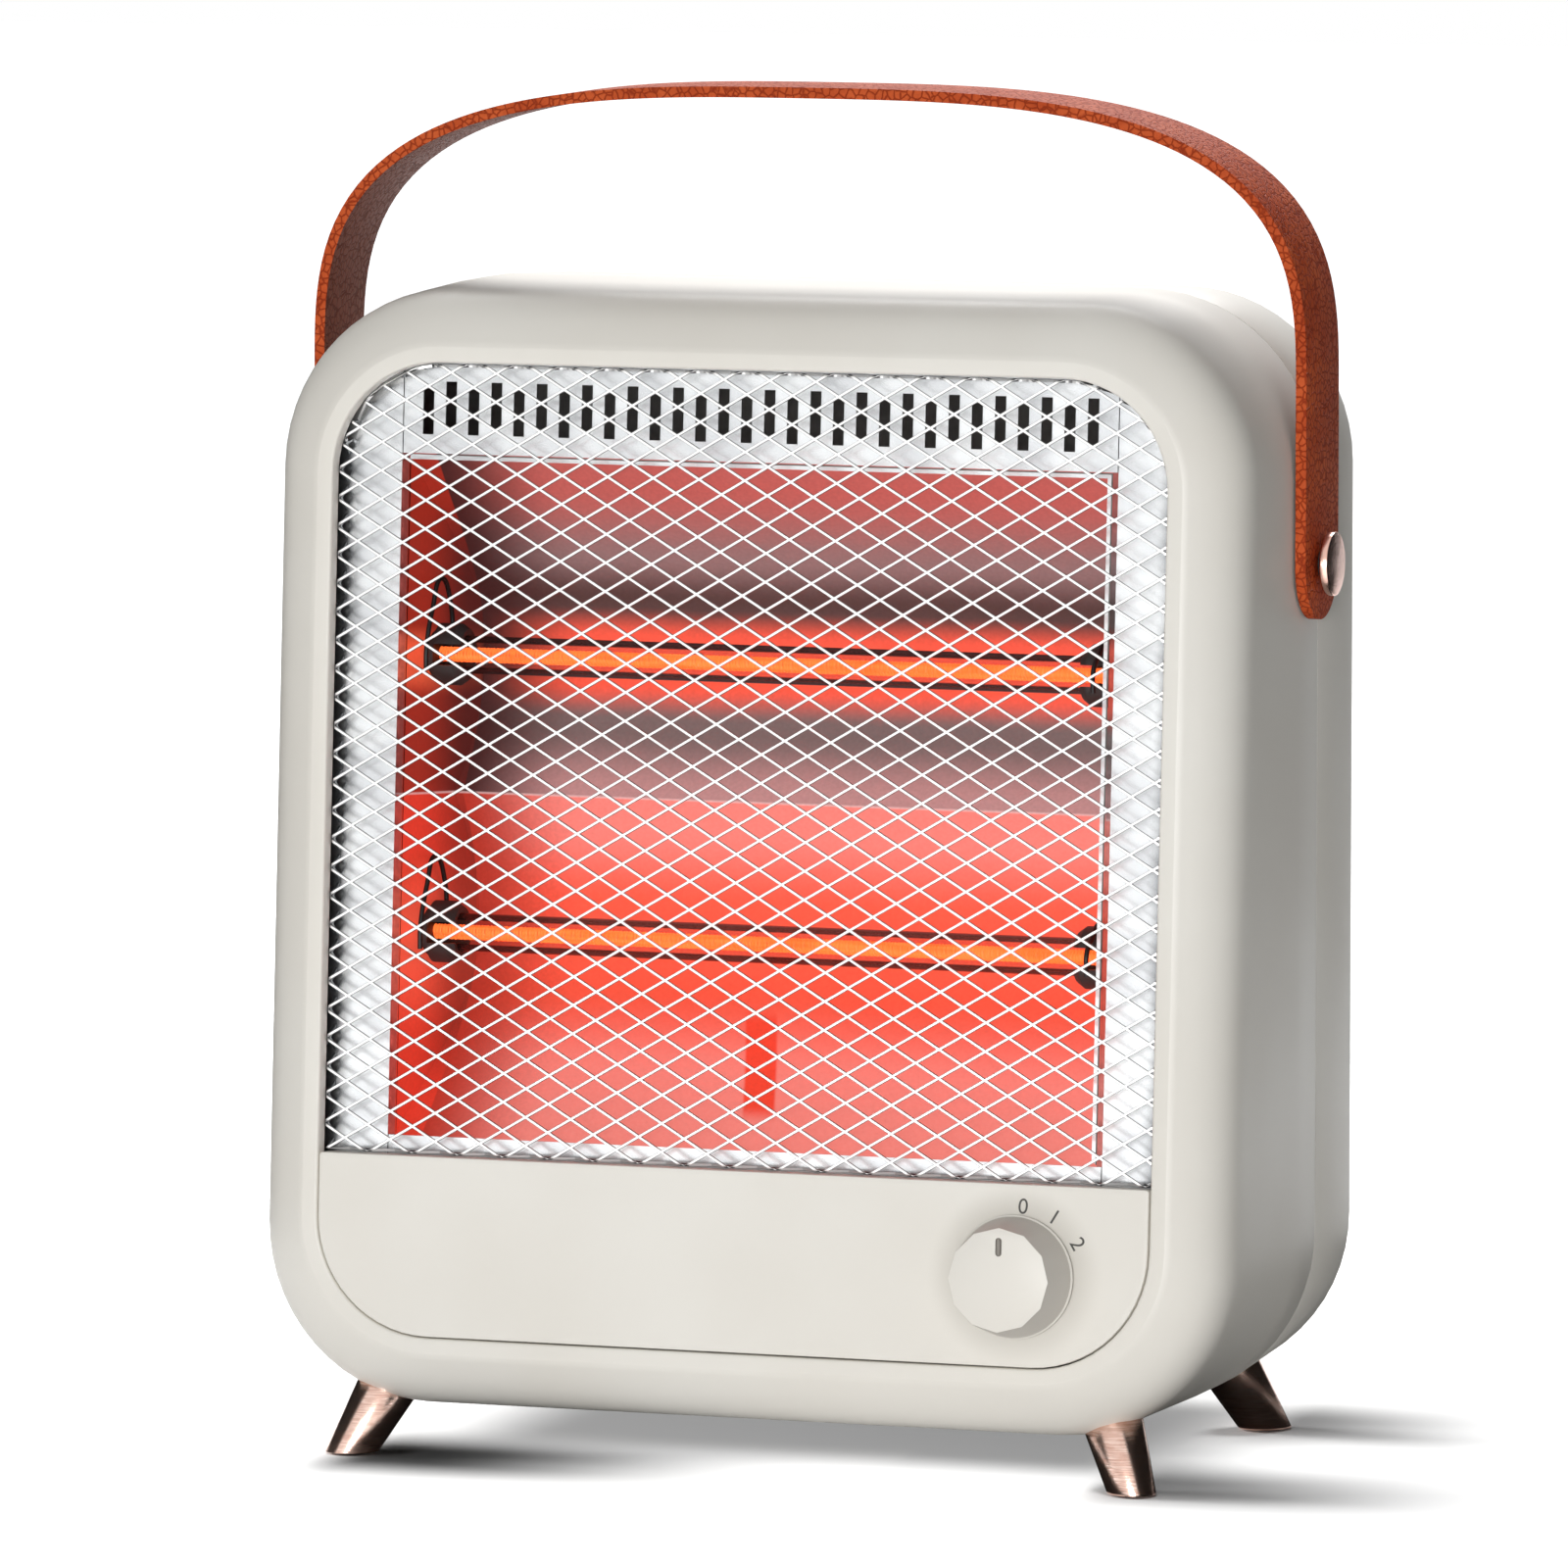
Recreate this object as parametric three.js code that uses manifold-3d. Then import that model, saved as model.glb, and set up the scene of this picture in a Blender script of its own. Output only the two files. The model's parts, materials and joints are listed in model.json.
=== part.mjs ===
import * as THREE from 'three';
import { mergeGeometries, mergeVertices } from 'three/addons/utils/BufferGeometryUtils.js';
import Module from 'manifold-3d';

// Portable electric heater, millimetres, +Z up. The front looks along -Y and leans back;
// the back stands upright. Heights of the front parts run up the leaning front plane.

const wasm = await Module();
wasm.setup();

// Shared fits
const clearance = 0.3;
const cutOverrun = 2;
const weldDistance = 0.0001;

// Casing
const body = {
  width: 295,
  groundClearance: 14.2,
  height: 323.1,
  frontAtFloor: -77.7,
  seamY: 18,
  backY: 72,
  leanDegrees: 3.97,
  wall: 2.5,
  innerBevelDepth: 12.5,
  cornerRadius: 52,
  rearCornerRound: 15,
  rearTaper: 2,
  backWall: 4.5,
  bevelDepth: 21,
};
const bevelEndShare = 0.95;
const bevelStartShares = [0.55, 0.2];
const bevelFinishShares = [1, 0.35];

// Opening of the bezel, set in from the widest outline of the casing
const opening = {
  fromSide: 21.6,
  fromBottom: 21.9,
  fromTop: 21.1,
  topRadius: 32,
  bottomRadius: 34.5,
  ringWidth: 4.7,
  lipDepth: 5,
  lipSeat: 5.7,
};

// Control panel below the grille
const panel = {
  top: 88.6,
  gap: 0.45,
  skin: 2.5,
  rim: 2.2,
  flangeWide: 2.4,
  flangeThick: 2,
  topCorner: 1,
};

// Expanded-metal grille, a shallow tray with its edges turned back
const grille = {
  depth: 3.5,
  thick: 0.9,
  gap: 0.4,
  trayDepth: 6,
  rim: 1.2,
  strand: 1.3,
  diamondWide: 31.4,
  diamondTall: 18.95,
  bottomCorner: 1.5,
  smallestGap: 3.7,
};

// Polished sheet-metal face behind the grille
const face = {
  depth: 10,
  thick: 0.8,
  overlap: 5.1,
  cornerRadius: 36,
  sheetGap: 0.3,
  windowInset: 17.6,
  windowAbovePanel: 5.2,
  windowBelowOpening: 26.3,
  tuckBehindPanel: 8.6,
};
const vent = { slots: 30, endGap: 4.35, wide: 3.3, tall: 13.2, stagger: 2.1 };
const plateScrew = { shank: 1.3, head: 2.5, headThick: 1.2, boss: 2.7, inset: 2.2, bite: 4, fromEnd: 40 };

// Reflector behind the window
const reflector = {
  sheet: 0.8,
  sideGap: 1.8,
  endLean: 8.5,
  troughDepth: 54,
  ridgeDepth: 39,
  flange: 4.5,
};
const troughShares = [[0, 0], [0.12, 0.5], [0.26, 0.88], [0.42, 1], [0.58, 0.9], [0.74, 0.6], [0.88, 0.27]];
const ridgeShareCount = 4;

// Heating tubes
const tube = { depth: 29.8, outer: 5.5, glass: 1, core: 2.4, socket: 9 };
const tubeRowShare = 0.4084;
const holder = { inside: 8.8, outside: 11.2, flange: 9, flangeThick: 4, neck: 7.2 };
const clip = { wire: 0.8, lowRise: 9.8, radius: 8.5, drop: 4.5, fromInnerEnd: 6 };
const clipRiseShare = 0.2235;
const bailRiseShare = 0.62;
const bailWaistShare = 0.72;

// Knob, switch and shaft
const knob = {
  fromSide: 39.6,
  up: 62.3,
  height: 15,
  skirtRadius: 17.8,
  skirtHeight: 1.4,
  footRadius: 17.2,
  faceRadius: 15,
  standOff: 0.5,
  recessRadius: 8.5,
  recessDepth: 4,
  pointerLong: 4.6,
  pointerWide: 1.6,
  pointerDeep: 0.8,
  pointerInset: 3.2,
};
const shaft = { radius: 3, intoKnob: 11, behindPanel: 9 };
const rotary = { wide: 27, tall: 27, deep: 16, bush: 4.6, bushProud: 3, nut: 6.6, nutThick: 2 };

// Leather handle on its two studs
const handle = {
  beforeSeam: 8.7,
  pivotZ: 260,
  sideGap: 0.6,
  leather: 3.15,
  wide: 32,
  straight: 50,
  aboveCasing: 57,
};
const archPower = 3.1;
const stud = {
  discRadius: 9.2,
  disc: 2.5,
  neckLong: 1.8,
  neck: 3,
  rim: 0.5,
  shankInside: 8,
  nut: 6.5,
  nutThick: 3.2,
};
const spacer = { radius: 5, thick: 1.2 };

// Legs
const leg = {
  fromSide: 28.6,
  fromFront: 12.7,
  fromBack: 7,
  splayDegrees: 24.4,
  footRadius: 6.7,
  topRadius: 10.2,
  lift: 0.6,
  peg: 4,
  pegFrom: 12,
  boss: 7,
  bossRise: 19.8,
};
const pad = { radius: 5, thick: 3 };

// Rear of the casing
const rearVent = { middleZ: 186, slotLong: 80, slotTall: 4, rows: 12, rowPitch: 15, middleRib: 14 };
const casingPost = { radius: 5, bore: 2, shank: 1.7, head: 3.4, headThick: 2.5 };
const postPlace = { fromSide: 20, fromBottom: 35.4, fromTop: 59, beforeSeam: 26 };
const gland = { x: 70, fromBottom: 33.8, flange: 9, flangeThick: 3, body: 6, bore: 3.8, inside: 12 };

// Parts on the floor of the casing
const standoffRise = 12.8;
const terminals = { x: -52, fromSeam: 26, wide: 46, deep: 20, tall: 15, ways: 4, wayBore: 2 };
const tipSwitch = {
  x: 8,
  fromSeam: 24,
  baseWide: 30,
  baseDeep: 34,
  baseThick: 2.4,
  cheekThick: 2,
  cheekDeep: 14,
  pinUp: 27,
  cheekTop: 34,
  pin: 1.5,
  hub: 3.6,
  hubLong: 13,
  arm: 2.2,
  weight: 5,
  weightDrop: 16,
  bodyTall: 11,
  bodyDeep: 12,
};
const cutout = { x: 34, radius: 8, thick: 7, ear: 3 };
const wire = { radius: 1.1, gap: 0.4, bend: 9 };

// Mesh fineness
const cornerSteps = 8;
const bevelSteps = 4;
const roundSteps = 3;
const trayCornerSteps = 5;
const archSteps = 36;
const roundSides = 20;
const smallSides = 10;
const knobSides = 12;
const nutSides = 6;
const wireSides = 6;
const wireSegmentSteps = 3;
const bailSegmentSteps = 2;

// Finishes
const finish = {
  cream: [0xe9e6dc, 0.42, 0],
  steel: [0xd9dadb, 0.22, 1],
  netSteel: [0xf1f1ef, 0.3, 1],
  glowRed: [0xe0543f, 0.35, 0.6],
  quartz: [0xf3a07c, 0.1, 0],
  glowCore: [0xff7d37, 0.5, 0],
  ceramic: [0x2a2726, 0.7, 0],
  blackWire: [0x1b1a1a, 0.5, 0.3],
  leather: [0x8c3a1d, 0.62, 0],
  roseGold: [0xc79382, 0.28, 1],
  rubber: [0x242322, 0.85, 0],
  blackPlastic: [0x262627, 0.55, 0],
  zinc: [0x9fa2a5, 0.4, 1],
  redWire: [0xa82a22, 0.6, 0],
};

const lean = THREE.MathUtils.degToRad(body.leanDegrees);
const quarterTurn = Math.PI / 2;
const bodyTop = body.groundClearance + body.height;
const bodyHalf = body.width / 2;
const opposite = (vector) => vector.clone().negate();

// Front plane as a frame of its own: x right, y up the plane, z out of the front
const frontPlane = new THREE.Matrix4()
  .makeRotationX(quarterTurn - lean)
  .setPosition(0, body.frontAtFloor, 0);
const frontYAt = (z) => body.frontAtFloor + z * Math.tan(lean);
const risen = (along) => along * Math.cos(lean);
const upPlane = (height) => height / Math.cos(lean);
const openingHalf = bodyHalf - opening.fromSide;
const knobX = openingHalf - knob.fromSide;
const openingLow = upPlane(body.groundClearance + opening.fromBottom);
const openingHigh = upPlane(bodyTop - opening.fromTop);

const materials = Object.fromEntries(
  Object.entries(finish).map(([name, [color, roughness, metalness]]) => [
    name,
    new THREE.MeshStandardMaterial({ name, color, roughness, metalness }),
  ]),
);

const heater = new THREE.Group();
const frontParts = new THREE.Group();
frontParts.applyMatrix4(frontPlane);
heater.add(frontParts);

function addPart(name, shape, material, owner = heater) {
  const part = new THREE.Mesh(toGeometry(shape), materials[material]);
  part.name = name;
  owner.add(part);
}

// Solids: closed meshes that can be joined and cut
function toSolid(geometry, placement) {
  const bare = geometry.clone();
  bare.deleteAttribute('normal');
  bare.deleteAttribute('uv');
  if (placement) bare.applyMatrix4(placement);
  const merged = mergeVertices(bare, weldDistance);
  return new wasm.Manifold(new wasm.Mesh({
    numProp: 3,
    vertProperties: new Float32Array(merged.attributes.position.array),
    triVerts: new Uint32Array(merged.index.array),
  }));
}

function toGeometry(solid) {
  const result = solid.getMesh();
  const geometry = new THREE.BufferGeometry();
  geometry.setAttribute('position', new THREE.BufferAttribute(new Float32Array(result.vertProperties), 3));
  geometry.setIndex(new THREE.BufferAttribute(new Uint32Array(result.triVerts), 1));
  return geometry;
}

const joined = (first, ...others) => others.reduce((sum, item) => sum.add(item), first);
const cut = (first, ...tools) => tools.reduce((rest, tool) => rest.subtract(tool), first);

// Rings of points joined into a skin; closed as a tunnel, or capped at both ends
function loft(rings, capped) {
  const count = rings[0].length;
  const vertices = rings.flat();
  const faces = [];
  const pairs = capped ? rings.length - 1 : rings.length;
  for (let i = 0; i < pairs; i += 1) {
    const next = (i + 1) % rings.length;
    for (let j = 0; j < count; j += 1) {
      const k = (j + 1) % count;
      faces.push(i * count + j, next * count + j, next * count + k);
      faces.push(i * count + j, next * count + k, i * count + k);
    }
  }
  if (capped) {
    const ends = [rings[0], rings[rings.length - 1]];
    ends.forEach((ring, end) => {
      const middle = vertices.length;
      const start = end === 0 ? 0 : (rings.length - 1) * count;
      const centre = ring.reduce((sum, point) => sum.add(point), new THREE.Vector3());
      vertices.push(centre.divideScalar(count));
      for (let j = 0; j < count; j += 1) {
        const k = (j + 1) % count;
        const fan = [middle, start + j, start + k];
        faces.push(...(end === 0 ? fan : fan.reverse()));
      }
    });
  }
  const geometry = new THREE.BufferGeometry().setFromPoints(vertices);
  geometry.setIndex(faces);
  return geometry;
}

// Rounded rectangle as [x, height] pairs, anticlockwise seen from the front
function roundedOutline(half, low, high, lowRadius, highRadius, steps = cornerSteps) {
  const corners = [
    [half - lowRadius, low + lowRadius, lowRadius, -quarterTurn],
    [half - highRadius, high - highRadius, highRadius, 0],
    [highRadius - half, high - highRadius, highRadius, quarterTurn],
    [lowRadius - half, low + lowRadius, lowRadius, 2 * quarterTurn],
  ];
  return corners.flatMap(([x, height, radius, start]) => (
    Array.from({ length: steps + 1 }, (unused, i) => {
      const angle = start + (quarterTurn * i) / steps;
      return [x + radius * Math.cos(angle), height + radius * Math.sin(angle)];
    })
  ));
}

// Straight prisms on separate outlines, as one solid
function prisms(outlines, depth, placement) {
  const pieces = outlines.map((points) => {
    const shape = new THREE.Shape(points.map(([x, y]) => new THREE.Vector2(x, y)));
    return new THREE.ExtrudeGeometry(shape, { depth, bevelEnabled: false });
  });
  return toSolid(mergeGeometries(pieces), placement);
}

// Flat sheet parallel to the front plane, between two depths, in front-plane axes
const sheetBetween = (outlines, nearDepth, farDepth) => (
  prisms(outlines, farDepth - nearDepth, new THREE.Matrix4().makeTranslation(0, 0, -farDepth))
);
const hollowSheet = (outer, inner, nearDepth, farDepth) => (
  sheetBetween([outer], nearDepth, farDepth)
    .subtract(sheetBetween([inner], nearDepth - cutOverrun, farDepth + cutOverrun))
);

function boxSolid(lowCorner, highCorner) {
  const size = highCorner.map((value, i) => value - lowCorner[i]);
  const middle = highCorner.map((value, i) => (value + lowCorner[i]) / 2);
  return toSolid(new THREE.BoxGeometry(...size), new THREE.Matrix4().makeTranslation(...middle));
}

const axisX = new THREE.Vector3(1, 0, 0);
const axisY = new THREE.Vector3(0, 1, 0);
const axisZ = new THREE.Vector3(0, 0, 1);
const at = (x, y, z) => new THREE.Vector3(x, y, z);

// Solid turned about an axis from a starting point; the profile is [radius, distance] pairs
function turned(profile, from, axis, sides = roundSides) {
  const points = profile.map(([radius, along]) => new THREE.Vector2(radius, along));
  const turn = new THREE.Quaternion().setFromUnitVectors(axisY, axis);
  const placement = new THREE.Matrix4().makeRotationFromQuaternion(turn).setPosition(from);
  return toSolid(new THREE.LatheGeometry(points, sides), placement);
}

const rod = (radius, from, axis, length, sides) => (
  turned([[0, 0], [radius, 0], [radius, length], [0, length]], from, axis, sides)
);
const ring = (inner, outer, from, axis, length) => (
  turned([[inner, 0], [outer, 0], [outer, length], [inner, length], [inner, 0]], from, axis)
);
const hexNut = (bore, outer, from, axis, length) => cut(
  rod(outer, from, axis, length, nutSides),
  rod(bore, from.clone().addScaledVector(axis, -cutOverrun), axis, length + 2 * cutOverrun),
);

// Round wire along a smooth curve through the given points
function wireAlong(points, radius, segmentSteps) {
  const circle = new THREE.Shape();
  circle.absarc(0, 0, radius, 0, 4 * quarterTurn);
  const path = new THREE.CatmullRomCurve3(points);
  return toSolid(new THREE.ExtrudeGeometry(circle, {
    extrudePath: path,
    steps: segmentSteps * (points.length - 1),
    curveSegments: wireSides / 2,
  }));
}

// Casing rings. Share 0 is the crease of the bezel, share 1 the widest line at the seam.
const crease = {
  half: openingHalf + opening.ringWidth,
  low: risen(openingLow - opening.ringWidth),
  high: risen(openingHigh + opening.ringWidth),
  lowRadius: opening.bottomRadius + opening.ringWidth,
  highRadius: opening.topRadius + opening.ringWidth,
};
const widest = {
  half: bodyHalf,
  low: body.groundClearance,
  high: bodyTop,
  lowRadius: body.cornerRadius,
  highRadius: body.cornerRadius,
};

function casingRing(share, grow, depthOf) {
  const mix = (key) => THREE.MathUtils.lerp(crease[key], widest[key], share);
  const outline = roundedOutline(
    mix('half') + grow,
    mix('low') - grow,
    mix('high') + grow,
    mix('lowRadius') + grow,
    mix('highRadius') + grow,
  );
  return outline.map(([x, z]) => at(x, depthOf(z), z));
}

const behindFront = (depth) => (z) => frontYAt(z) + depth;
const upright = (y) => () => y;

function bevelRings(grow, forward) {
  const curve = new THREE.CubicBezierCurve(
    new THREE.Vector2(0, 0),
    new THREE.Vector2(...bevelStartShares),
    new THREE.Vector2(...bevelFinishShares),
    new THREE.Vector2(1, 1),
  );
  return curve.getPoints(bevelSteps).map((point) => (
    casingRing(point.x * bevelEndShare, grow, behindFront(point.y * body.bevelDepth - forward))
  ));
}

function rearRings(grow, wallIn, backAt) {
  const radius = body.rearCornerRound - wallIn;
  const rings = [];
  for (let i = 0; i <= roundSteps; i += 1) {
    const angle = (quarterTurn * i) / roundSteps;
    const inset = body.rearTaper + wallIn + radius * (1 - Math.cos(angle));
    rings.push(casingRing(1, grow - inset, upright(backAt - radius * (1 - Math.sin(angle)))));
  }
  return rings;
}

// Outside of the whole casing as one solid, grown by a clearance, to trim the legs against
const casingSkin = toSolid(loft([
  ...bevelRings(clearance, clearance),
  casingRing(1, clearance, upright(body.seamY)),
  ...rearRings(clearance, 0, body.backY + clearance),
], true));

const insideSkin = toSolid(loft([
  ...bevelRings(-clearance, -clearance),
  casingRing(1, -clearance, upright(body.seamY)),
  ...rearRings(-clearance, 0, body.backY - clearance),
], true));

// Front shell: bezel, bevel and side walls up to the seam
function openingRing(grow, depth) {
  const outline = roundedOutline(
    openingHalf + grow,
    openingLow - grow,
    openingHigh + grow,
    opening.bottomRadius + grow,
    opening.topRadius + grow,
  );
  return outline.map(([x, up]) => at(x, up, -depth).applyMatrix4(frontPlane));
}

const wallShare = 1 - body.wall / (widest.half - crease.half);
const seamFront = body.seamY - clearance / 2;
const seamRear = body.seamY + clearance / 2;

const frontShellSkin = toSolid(loft([
  ...bevelRings(0, 0),
  casingRing(1, 0, upright(seamFront)),
  casingRing(1, -body.wall, upright(seamFront)),
  casingRing(bevelEndShare, -body.wall, behindFront(body.bevelDepth + body.wall)),
  casingRing(bevelEndShare * wallShare, -body.wall, behindFront(body.innerBevelDepth)),
  openingRing(opening.lipSeat, opening.lipDepth),
  openingRing(0, opening.lipDepth),
  openingRing(0, 0),
], false));

// Posts that the casing screws pass through, two on each side
const sides = [-1, 1];
const postX = bodyHalf - postPlace.fromSide;
const postPlaces = sides.flatMap((side) => [
  [side * postX, body.groundClearance + postPlace.fromBottom],
  [side * postX, bodyTop - postPlace.fromTop],
]);

function postBlock(x, z, yNear, yFar) {
  const post = rod(casingPost.radius, at(x, yNear, z), axisY, yFar - yNear, smallSides);
  const rib = boxSolid(
    [Math.min(x, Math.sign(x) * bodyHalf), yNear, z - casingPost.bore],
    [Math.max(x, Math.sign(x) * bodyHalf), yFar, z + casingPost.bore],
  );
  return post.add(rib).intersect(insideSkin);
}
const postFront = seamFront - postPlace.beforeSeam;
const frontPosts = postPlaces.map(([x, z]) => cut(
  postBlock(x, z, postFront, seamFront),
  rod(casingPost.bore, at(x, postFront + body.wall, z), axisY, postPlace.beforeSeam, smallSides),
));

// Legs lean outwards; each has a peg that is fixed in a boss of the casing
const legSplay = Math.tan(THREE.MathUtils.degToRad(leg.splayDegrees));
const legPlaces = [
  ['front_left', -1, -1],
  ['front_right', 1, -1],
  ['rear_left', -1, 1],
  ['rear_right', 1, 1],
].map(([name, sideX, sideY]) => ({
  name,
  foot: at(
    sideX * (bodyHalf - leg.fromSide),
    sideY < 0 ? body.frontAtFloor + leg.fromFront : body.backY - leg.fromBack,
    0,
  ),
  up: at(-sideX * legSplay, -sideY * legSplay, 1).normalize(),
  isFront: sideY < 0,
}));
const legCosine = legPlaces[0].up.z;
const legRise = body.groundClearance + leg.bossRise;
const legLong = legRise / legCosine;

function legBoss(place) {
  const column = rod(leg.boss, place.foot, place.up, legLong, smallSides);
  return column.intersect(insideSkin);
}
const legPegHole = (place) => rod(leg.peg + clearance, place.foot, place.up, 2 * legLong, smallSides);

// Studs hold the strap at both sides of the casing
const strapInner = bodyHalf + handle.sideGap;
const strapOuter = strapInner + handle.leather;
const pivotY = body.seamY - handle.beforeSeam;
const studHole = (side) => rod(
  stud.neck + clearance,
  at(side * (bodyHalf - stud.shankInside - cutOverrun), pivotY, handle.pivotZ),
  axisX.clone().multiplyScalar(side),
  stud.shankInside + body.wall + 2 * cutOverrun,
);

// Small bosses that carry the polished face plates
const faceHalf = openingHalf + face.overlap;
const windowHalf = openingHalf - face.windowInset;
const faceLow = panel.top - face.tuckBehindPanel;
const faceHigh = openingHigh + face.overlap;
const windowLow = panel.top + face.windowAbovePanel;
const windowHigh = openingHigh - face.windowBelowOpening;
const faceScrewPlaces = sides.flatMap((side) => [
  [side * (faceHalf - plateScrew.inset), faceLow + plateScrew.fromEnd],
  [side * (faceHalf - plateScrew.inset), faceHigh - face.cornerRadius - plateScrew.fromEnd],
]);
const bossRoot = opening.lipDepth - cutOverrun;
const plateBoss = ([x, up]) => cut(
  rod(plateScrew.boss, at(x, up, -bossRoot), opposite(axisZ), face.depth - clearance - bossRoot, smallSides),
  rod(plateScrew.shank + clearance, at(x, up, -opening.lipDepth), opposite(axisZ), face.depth, smallSides),
);
const plateBosses = faceScrewPlaces.map((place) => plateBoss(place).transform(frontPlane.toArray()));

const frontLegs = legPlaces.filter((place) => place.isFront);
const rearLegs = legPlaces.filter((place) => !place.isFront);

const frontShell = cut(
  joined(frontShellSkin, ...frontPosts, ...frontLegs.map(legBoss), ...plateBosses),
  ...frontLegs.map(legPegHole),
  ...sides.map(studHole),
);
addPart('front_shell', frontShell, 'cream');

// Rear shell: a cup from the seam to the slotted back wall
const rearCup = toSolid(loft([
  ...rearRings(0, body.wall, body.backY - body.backWall).reverse(),
  casingRing(1, -body.wall, upright(seamRear)),
  casingRing(1, 0, upright(seamRear)),
  ...rearRings(0, 0, body.backY),
], true));

// Flat sheet parallel to the back, between two places along Y
const uprightSheet = (outlines, nearY, farY) => (
  prisms(outlines, farY - nearY, new THREE.Matrix4().makeRotationX(quarterTurn).setPosition(0, farY, 0))
);

const rearPosts = postPlaces.map(([x, z]) => postBlock(x, z, seamRear, body.backY - body.backWall / 2));
const headSeat = body.backY - casingPost.headThick - clearance;
const postBores = postPlaces.flatMap(([x, z]) => [
  rod(casingPost.bore, at(x, seamRear - cutOverrun, z), axisY, body.backY, smallSides),
  rod(casingPost.head + clearance, at(x, headSeat, z), axisY, body.backWall, smallSides),
]);

// Flat-topped blocks on the curved floor of the rear shell
const standoffTop = body.groundClearance + standoffRise;
const terminalY = body.seamY + terminals.fromSeam;
const tipY = body.seamY + tipSwitch.fromSeam;
function floorBlock(x, y, halfWide, halfDeep) {
  const block = boxSolid(
    [x - halfWide, y - halfDeep, body.groundClearance],
    [x + halfWide, y + halfDeep, standoffTop],
  );
  return block.intersect(insideSkin);
}
const standoffs = [
  floorBlock(terminals.x, terminalY, terminals.wide / 2, terminals.deep / 2),
  floorBlock(tipSwitch.x, tipY, tipSwitch.baseWide / 2, tipSwitch.baseDeep / 2),
];

// Rows of slots in the back wall
const slotTop = rearVent.middleZ + ((rearVent.rows - 1) * rearVent.rowPitch) / 2;
const rearSlots = [];
for (let row = 0; row < rearVent.rows; row += 1) {
  const z = slotTop - row * rearVent.rowPitch;
  for (const side of sides) {
    const middle = (side * (rearVent.middleRib + rearVent.slotLong)) / 2;
    rearSlots.push([
      [middle - rearVent.slotLong / 2, z - rearVent.slotTall / 2],
      [middle + rearVent.slotLong / 2, z - rearVent.slotTall / 2],
      [middle + rearVent.slotLong / 2, z + rearVent.slotTall / 2],
      [middle - rearVent.slotLong / 2, z + rearVent.slotTall / 2],
    ]);
  }
}

const glandZ = body.groundClearance + gland.fromBottom;
const rearShell = cut(
  joined(rearCup, ...rearPosts, ...rearLegs.map(legBoss), ...standoffs),
  uprightSheet(rearSlots, body.backY - body.backWall - cutOverrun, body.backY + cutOverrun),
  ...postBores,
  ...rearLegs.map(legPegHole),
  rod(gland.body + clearance, at(gland.x, body.backY - gland.inside, glandZ), axisY, 2 * gland.inside),
);
addPart('rear_shell', rearShell, 'cream');

// Long screws that pull the two shells together
const casingScrewLong = body.backY - postFront - 2 * body.wall;
const casingScrew = ([x, z]) => turned([
  [0, 0],
  [casingPost.shank, 0],
  [casingPost.shank, casingScrewLong - casingPost.headThick],
  [casingPost.head, casingScrewLong - casingPost.headThick],
  [casingPost.head, casingScrewLong],
  [0, casingScrewLong],
], at(x, body.backY - casingScrewLong, z), axisY, smallSides);
for (const place of postPlaces) {
  const [x, z] = place;
  const corner = `${z > handle.pivotZ ? 'upper' : 'lower'}_${x < 0 ? 'left' : 'right'}`;
  addPart(`casing_screw_${corner}`, casingScrew(place), 'zinc');
}

// Cable gland in the back wall
const glandProfile = [
  [gland.bore, -gland.inside],
  [gland.body, -gland.inside],
  [gland.body, clearance],
  [gland.flange, clearance],
  [gland.flange, clearance + gland.flangeThick],
  [gland.bore, clearance + gland.flangeThick],
  [gland.bore, -gland.inside],
];
addPart('cable_gland', turned(glandProfile, at(gland.x, body.backY, glandZ), axisY), 'blackPlastic');

// Legs with their pads
for (const place of legPlaces) {
  const { x, y } = place.foot;
  const below = cutOverrun / legCosine;
  const widening = (leg.topRadius - leg.footRadius) / legLong;
  const cone = turned([
    [0, -below],
    [leg.footRadius - widening * below, -below],
    [leg.topRadius, legLong],
    [0, legLong],
  ], place.foot, place.up);
  const floorSlab = boxSolid(
    [x - leg.fromSide, y - leg.fromSide, -legRise],
    [x + leg.fromSide, y + leg.fromSide, leg.lift],
  );
  const recessDeep = cutOverrun + pad.thick + clearance;
  const recess = rod(pad.radius + clearance, at(x, y, -cutOverrun), axisZ, recessDeep, smallSides);
  const pegStart = place.foot.clone().addScaledVector(place.up, leg.pegFrom);
  const peg = rod(leg.peg, pegStart, place.up, legLong - leg.pegFrom, smallSides);
  addPart(`leg_${place.name}`, cut(cone, floorSlab, casingSkin, recess).add(peg), 'roseGold');
  addPart(`foot_pad_${place.name}`, rod(pad.radius, place.foot, axisZ, pad.thick, smallSides), 'rubber');
}

// Control panel: a skin with a rim behind it and a flange that sits behind the bezel's lip.
// Its top edge never grows up into the grille.
const panelOutline = (grow) => roundedOutline(
  openingHalf - panel.gap + grow,
  openingLow + panel.gap - grow,
  panel.top + Math.min(grow, 0),
  opening.bottomRadius - panel.gap + grow,
  panel.topCorner,
);
const flangeFront = opening.lipDepth + clearance;
const flangeRear = flangeFront + panel.flangeThick;
const controlPanel = cut(
  joined(
    sheetBetween([panelOutline(0)], 0, panel.skin),
    hollowSheet(panelOutline(0), panelOutline(-panel.rim), panel.skin / 2, flangeRear),
    hollowSheet(
      panelOutline(panel.gap + panel.flangeWide),
      panelOutline(-panel.rim),
      flangeFront,
      flangeRear,
    ),
  ),
  rod(rotary.bush + clearance, at(knobX, knob.up, cutOverrun), opposite(axisZ), flangeRear),
);
addPart('control_panel', controlPanel, 'cream', frontParts);

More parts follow.
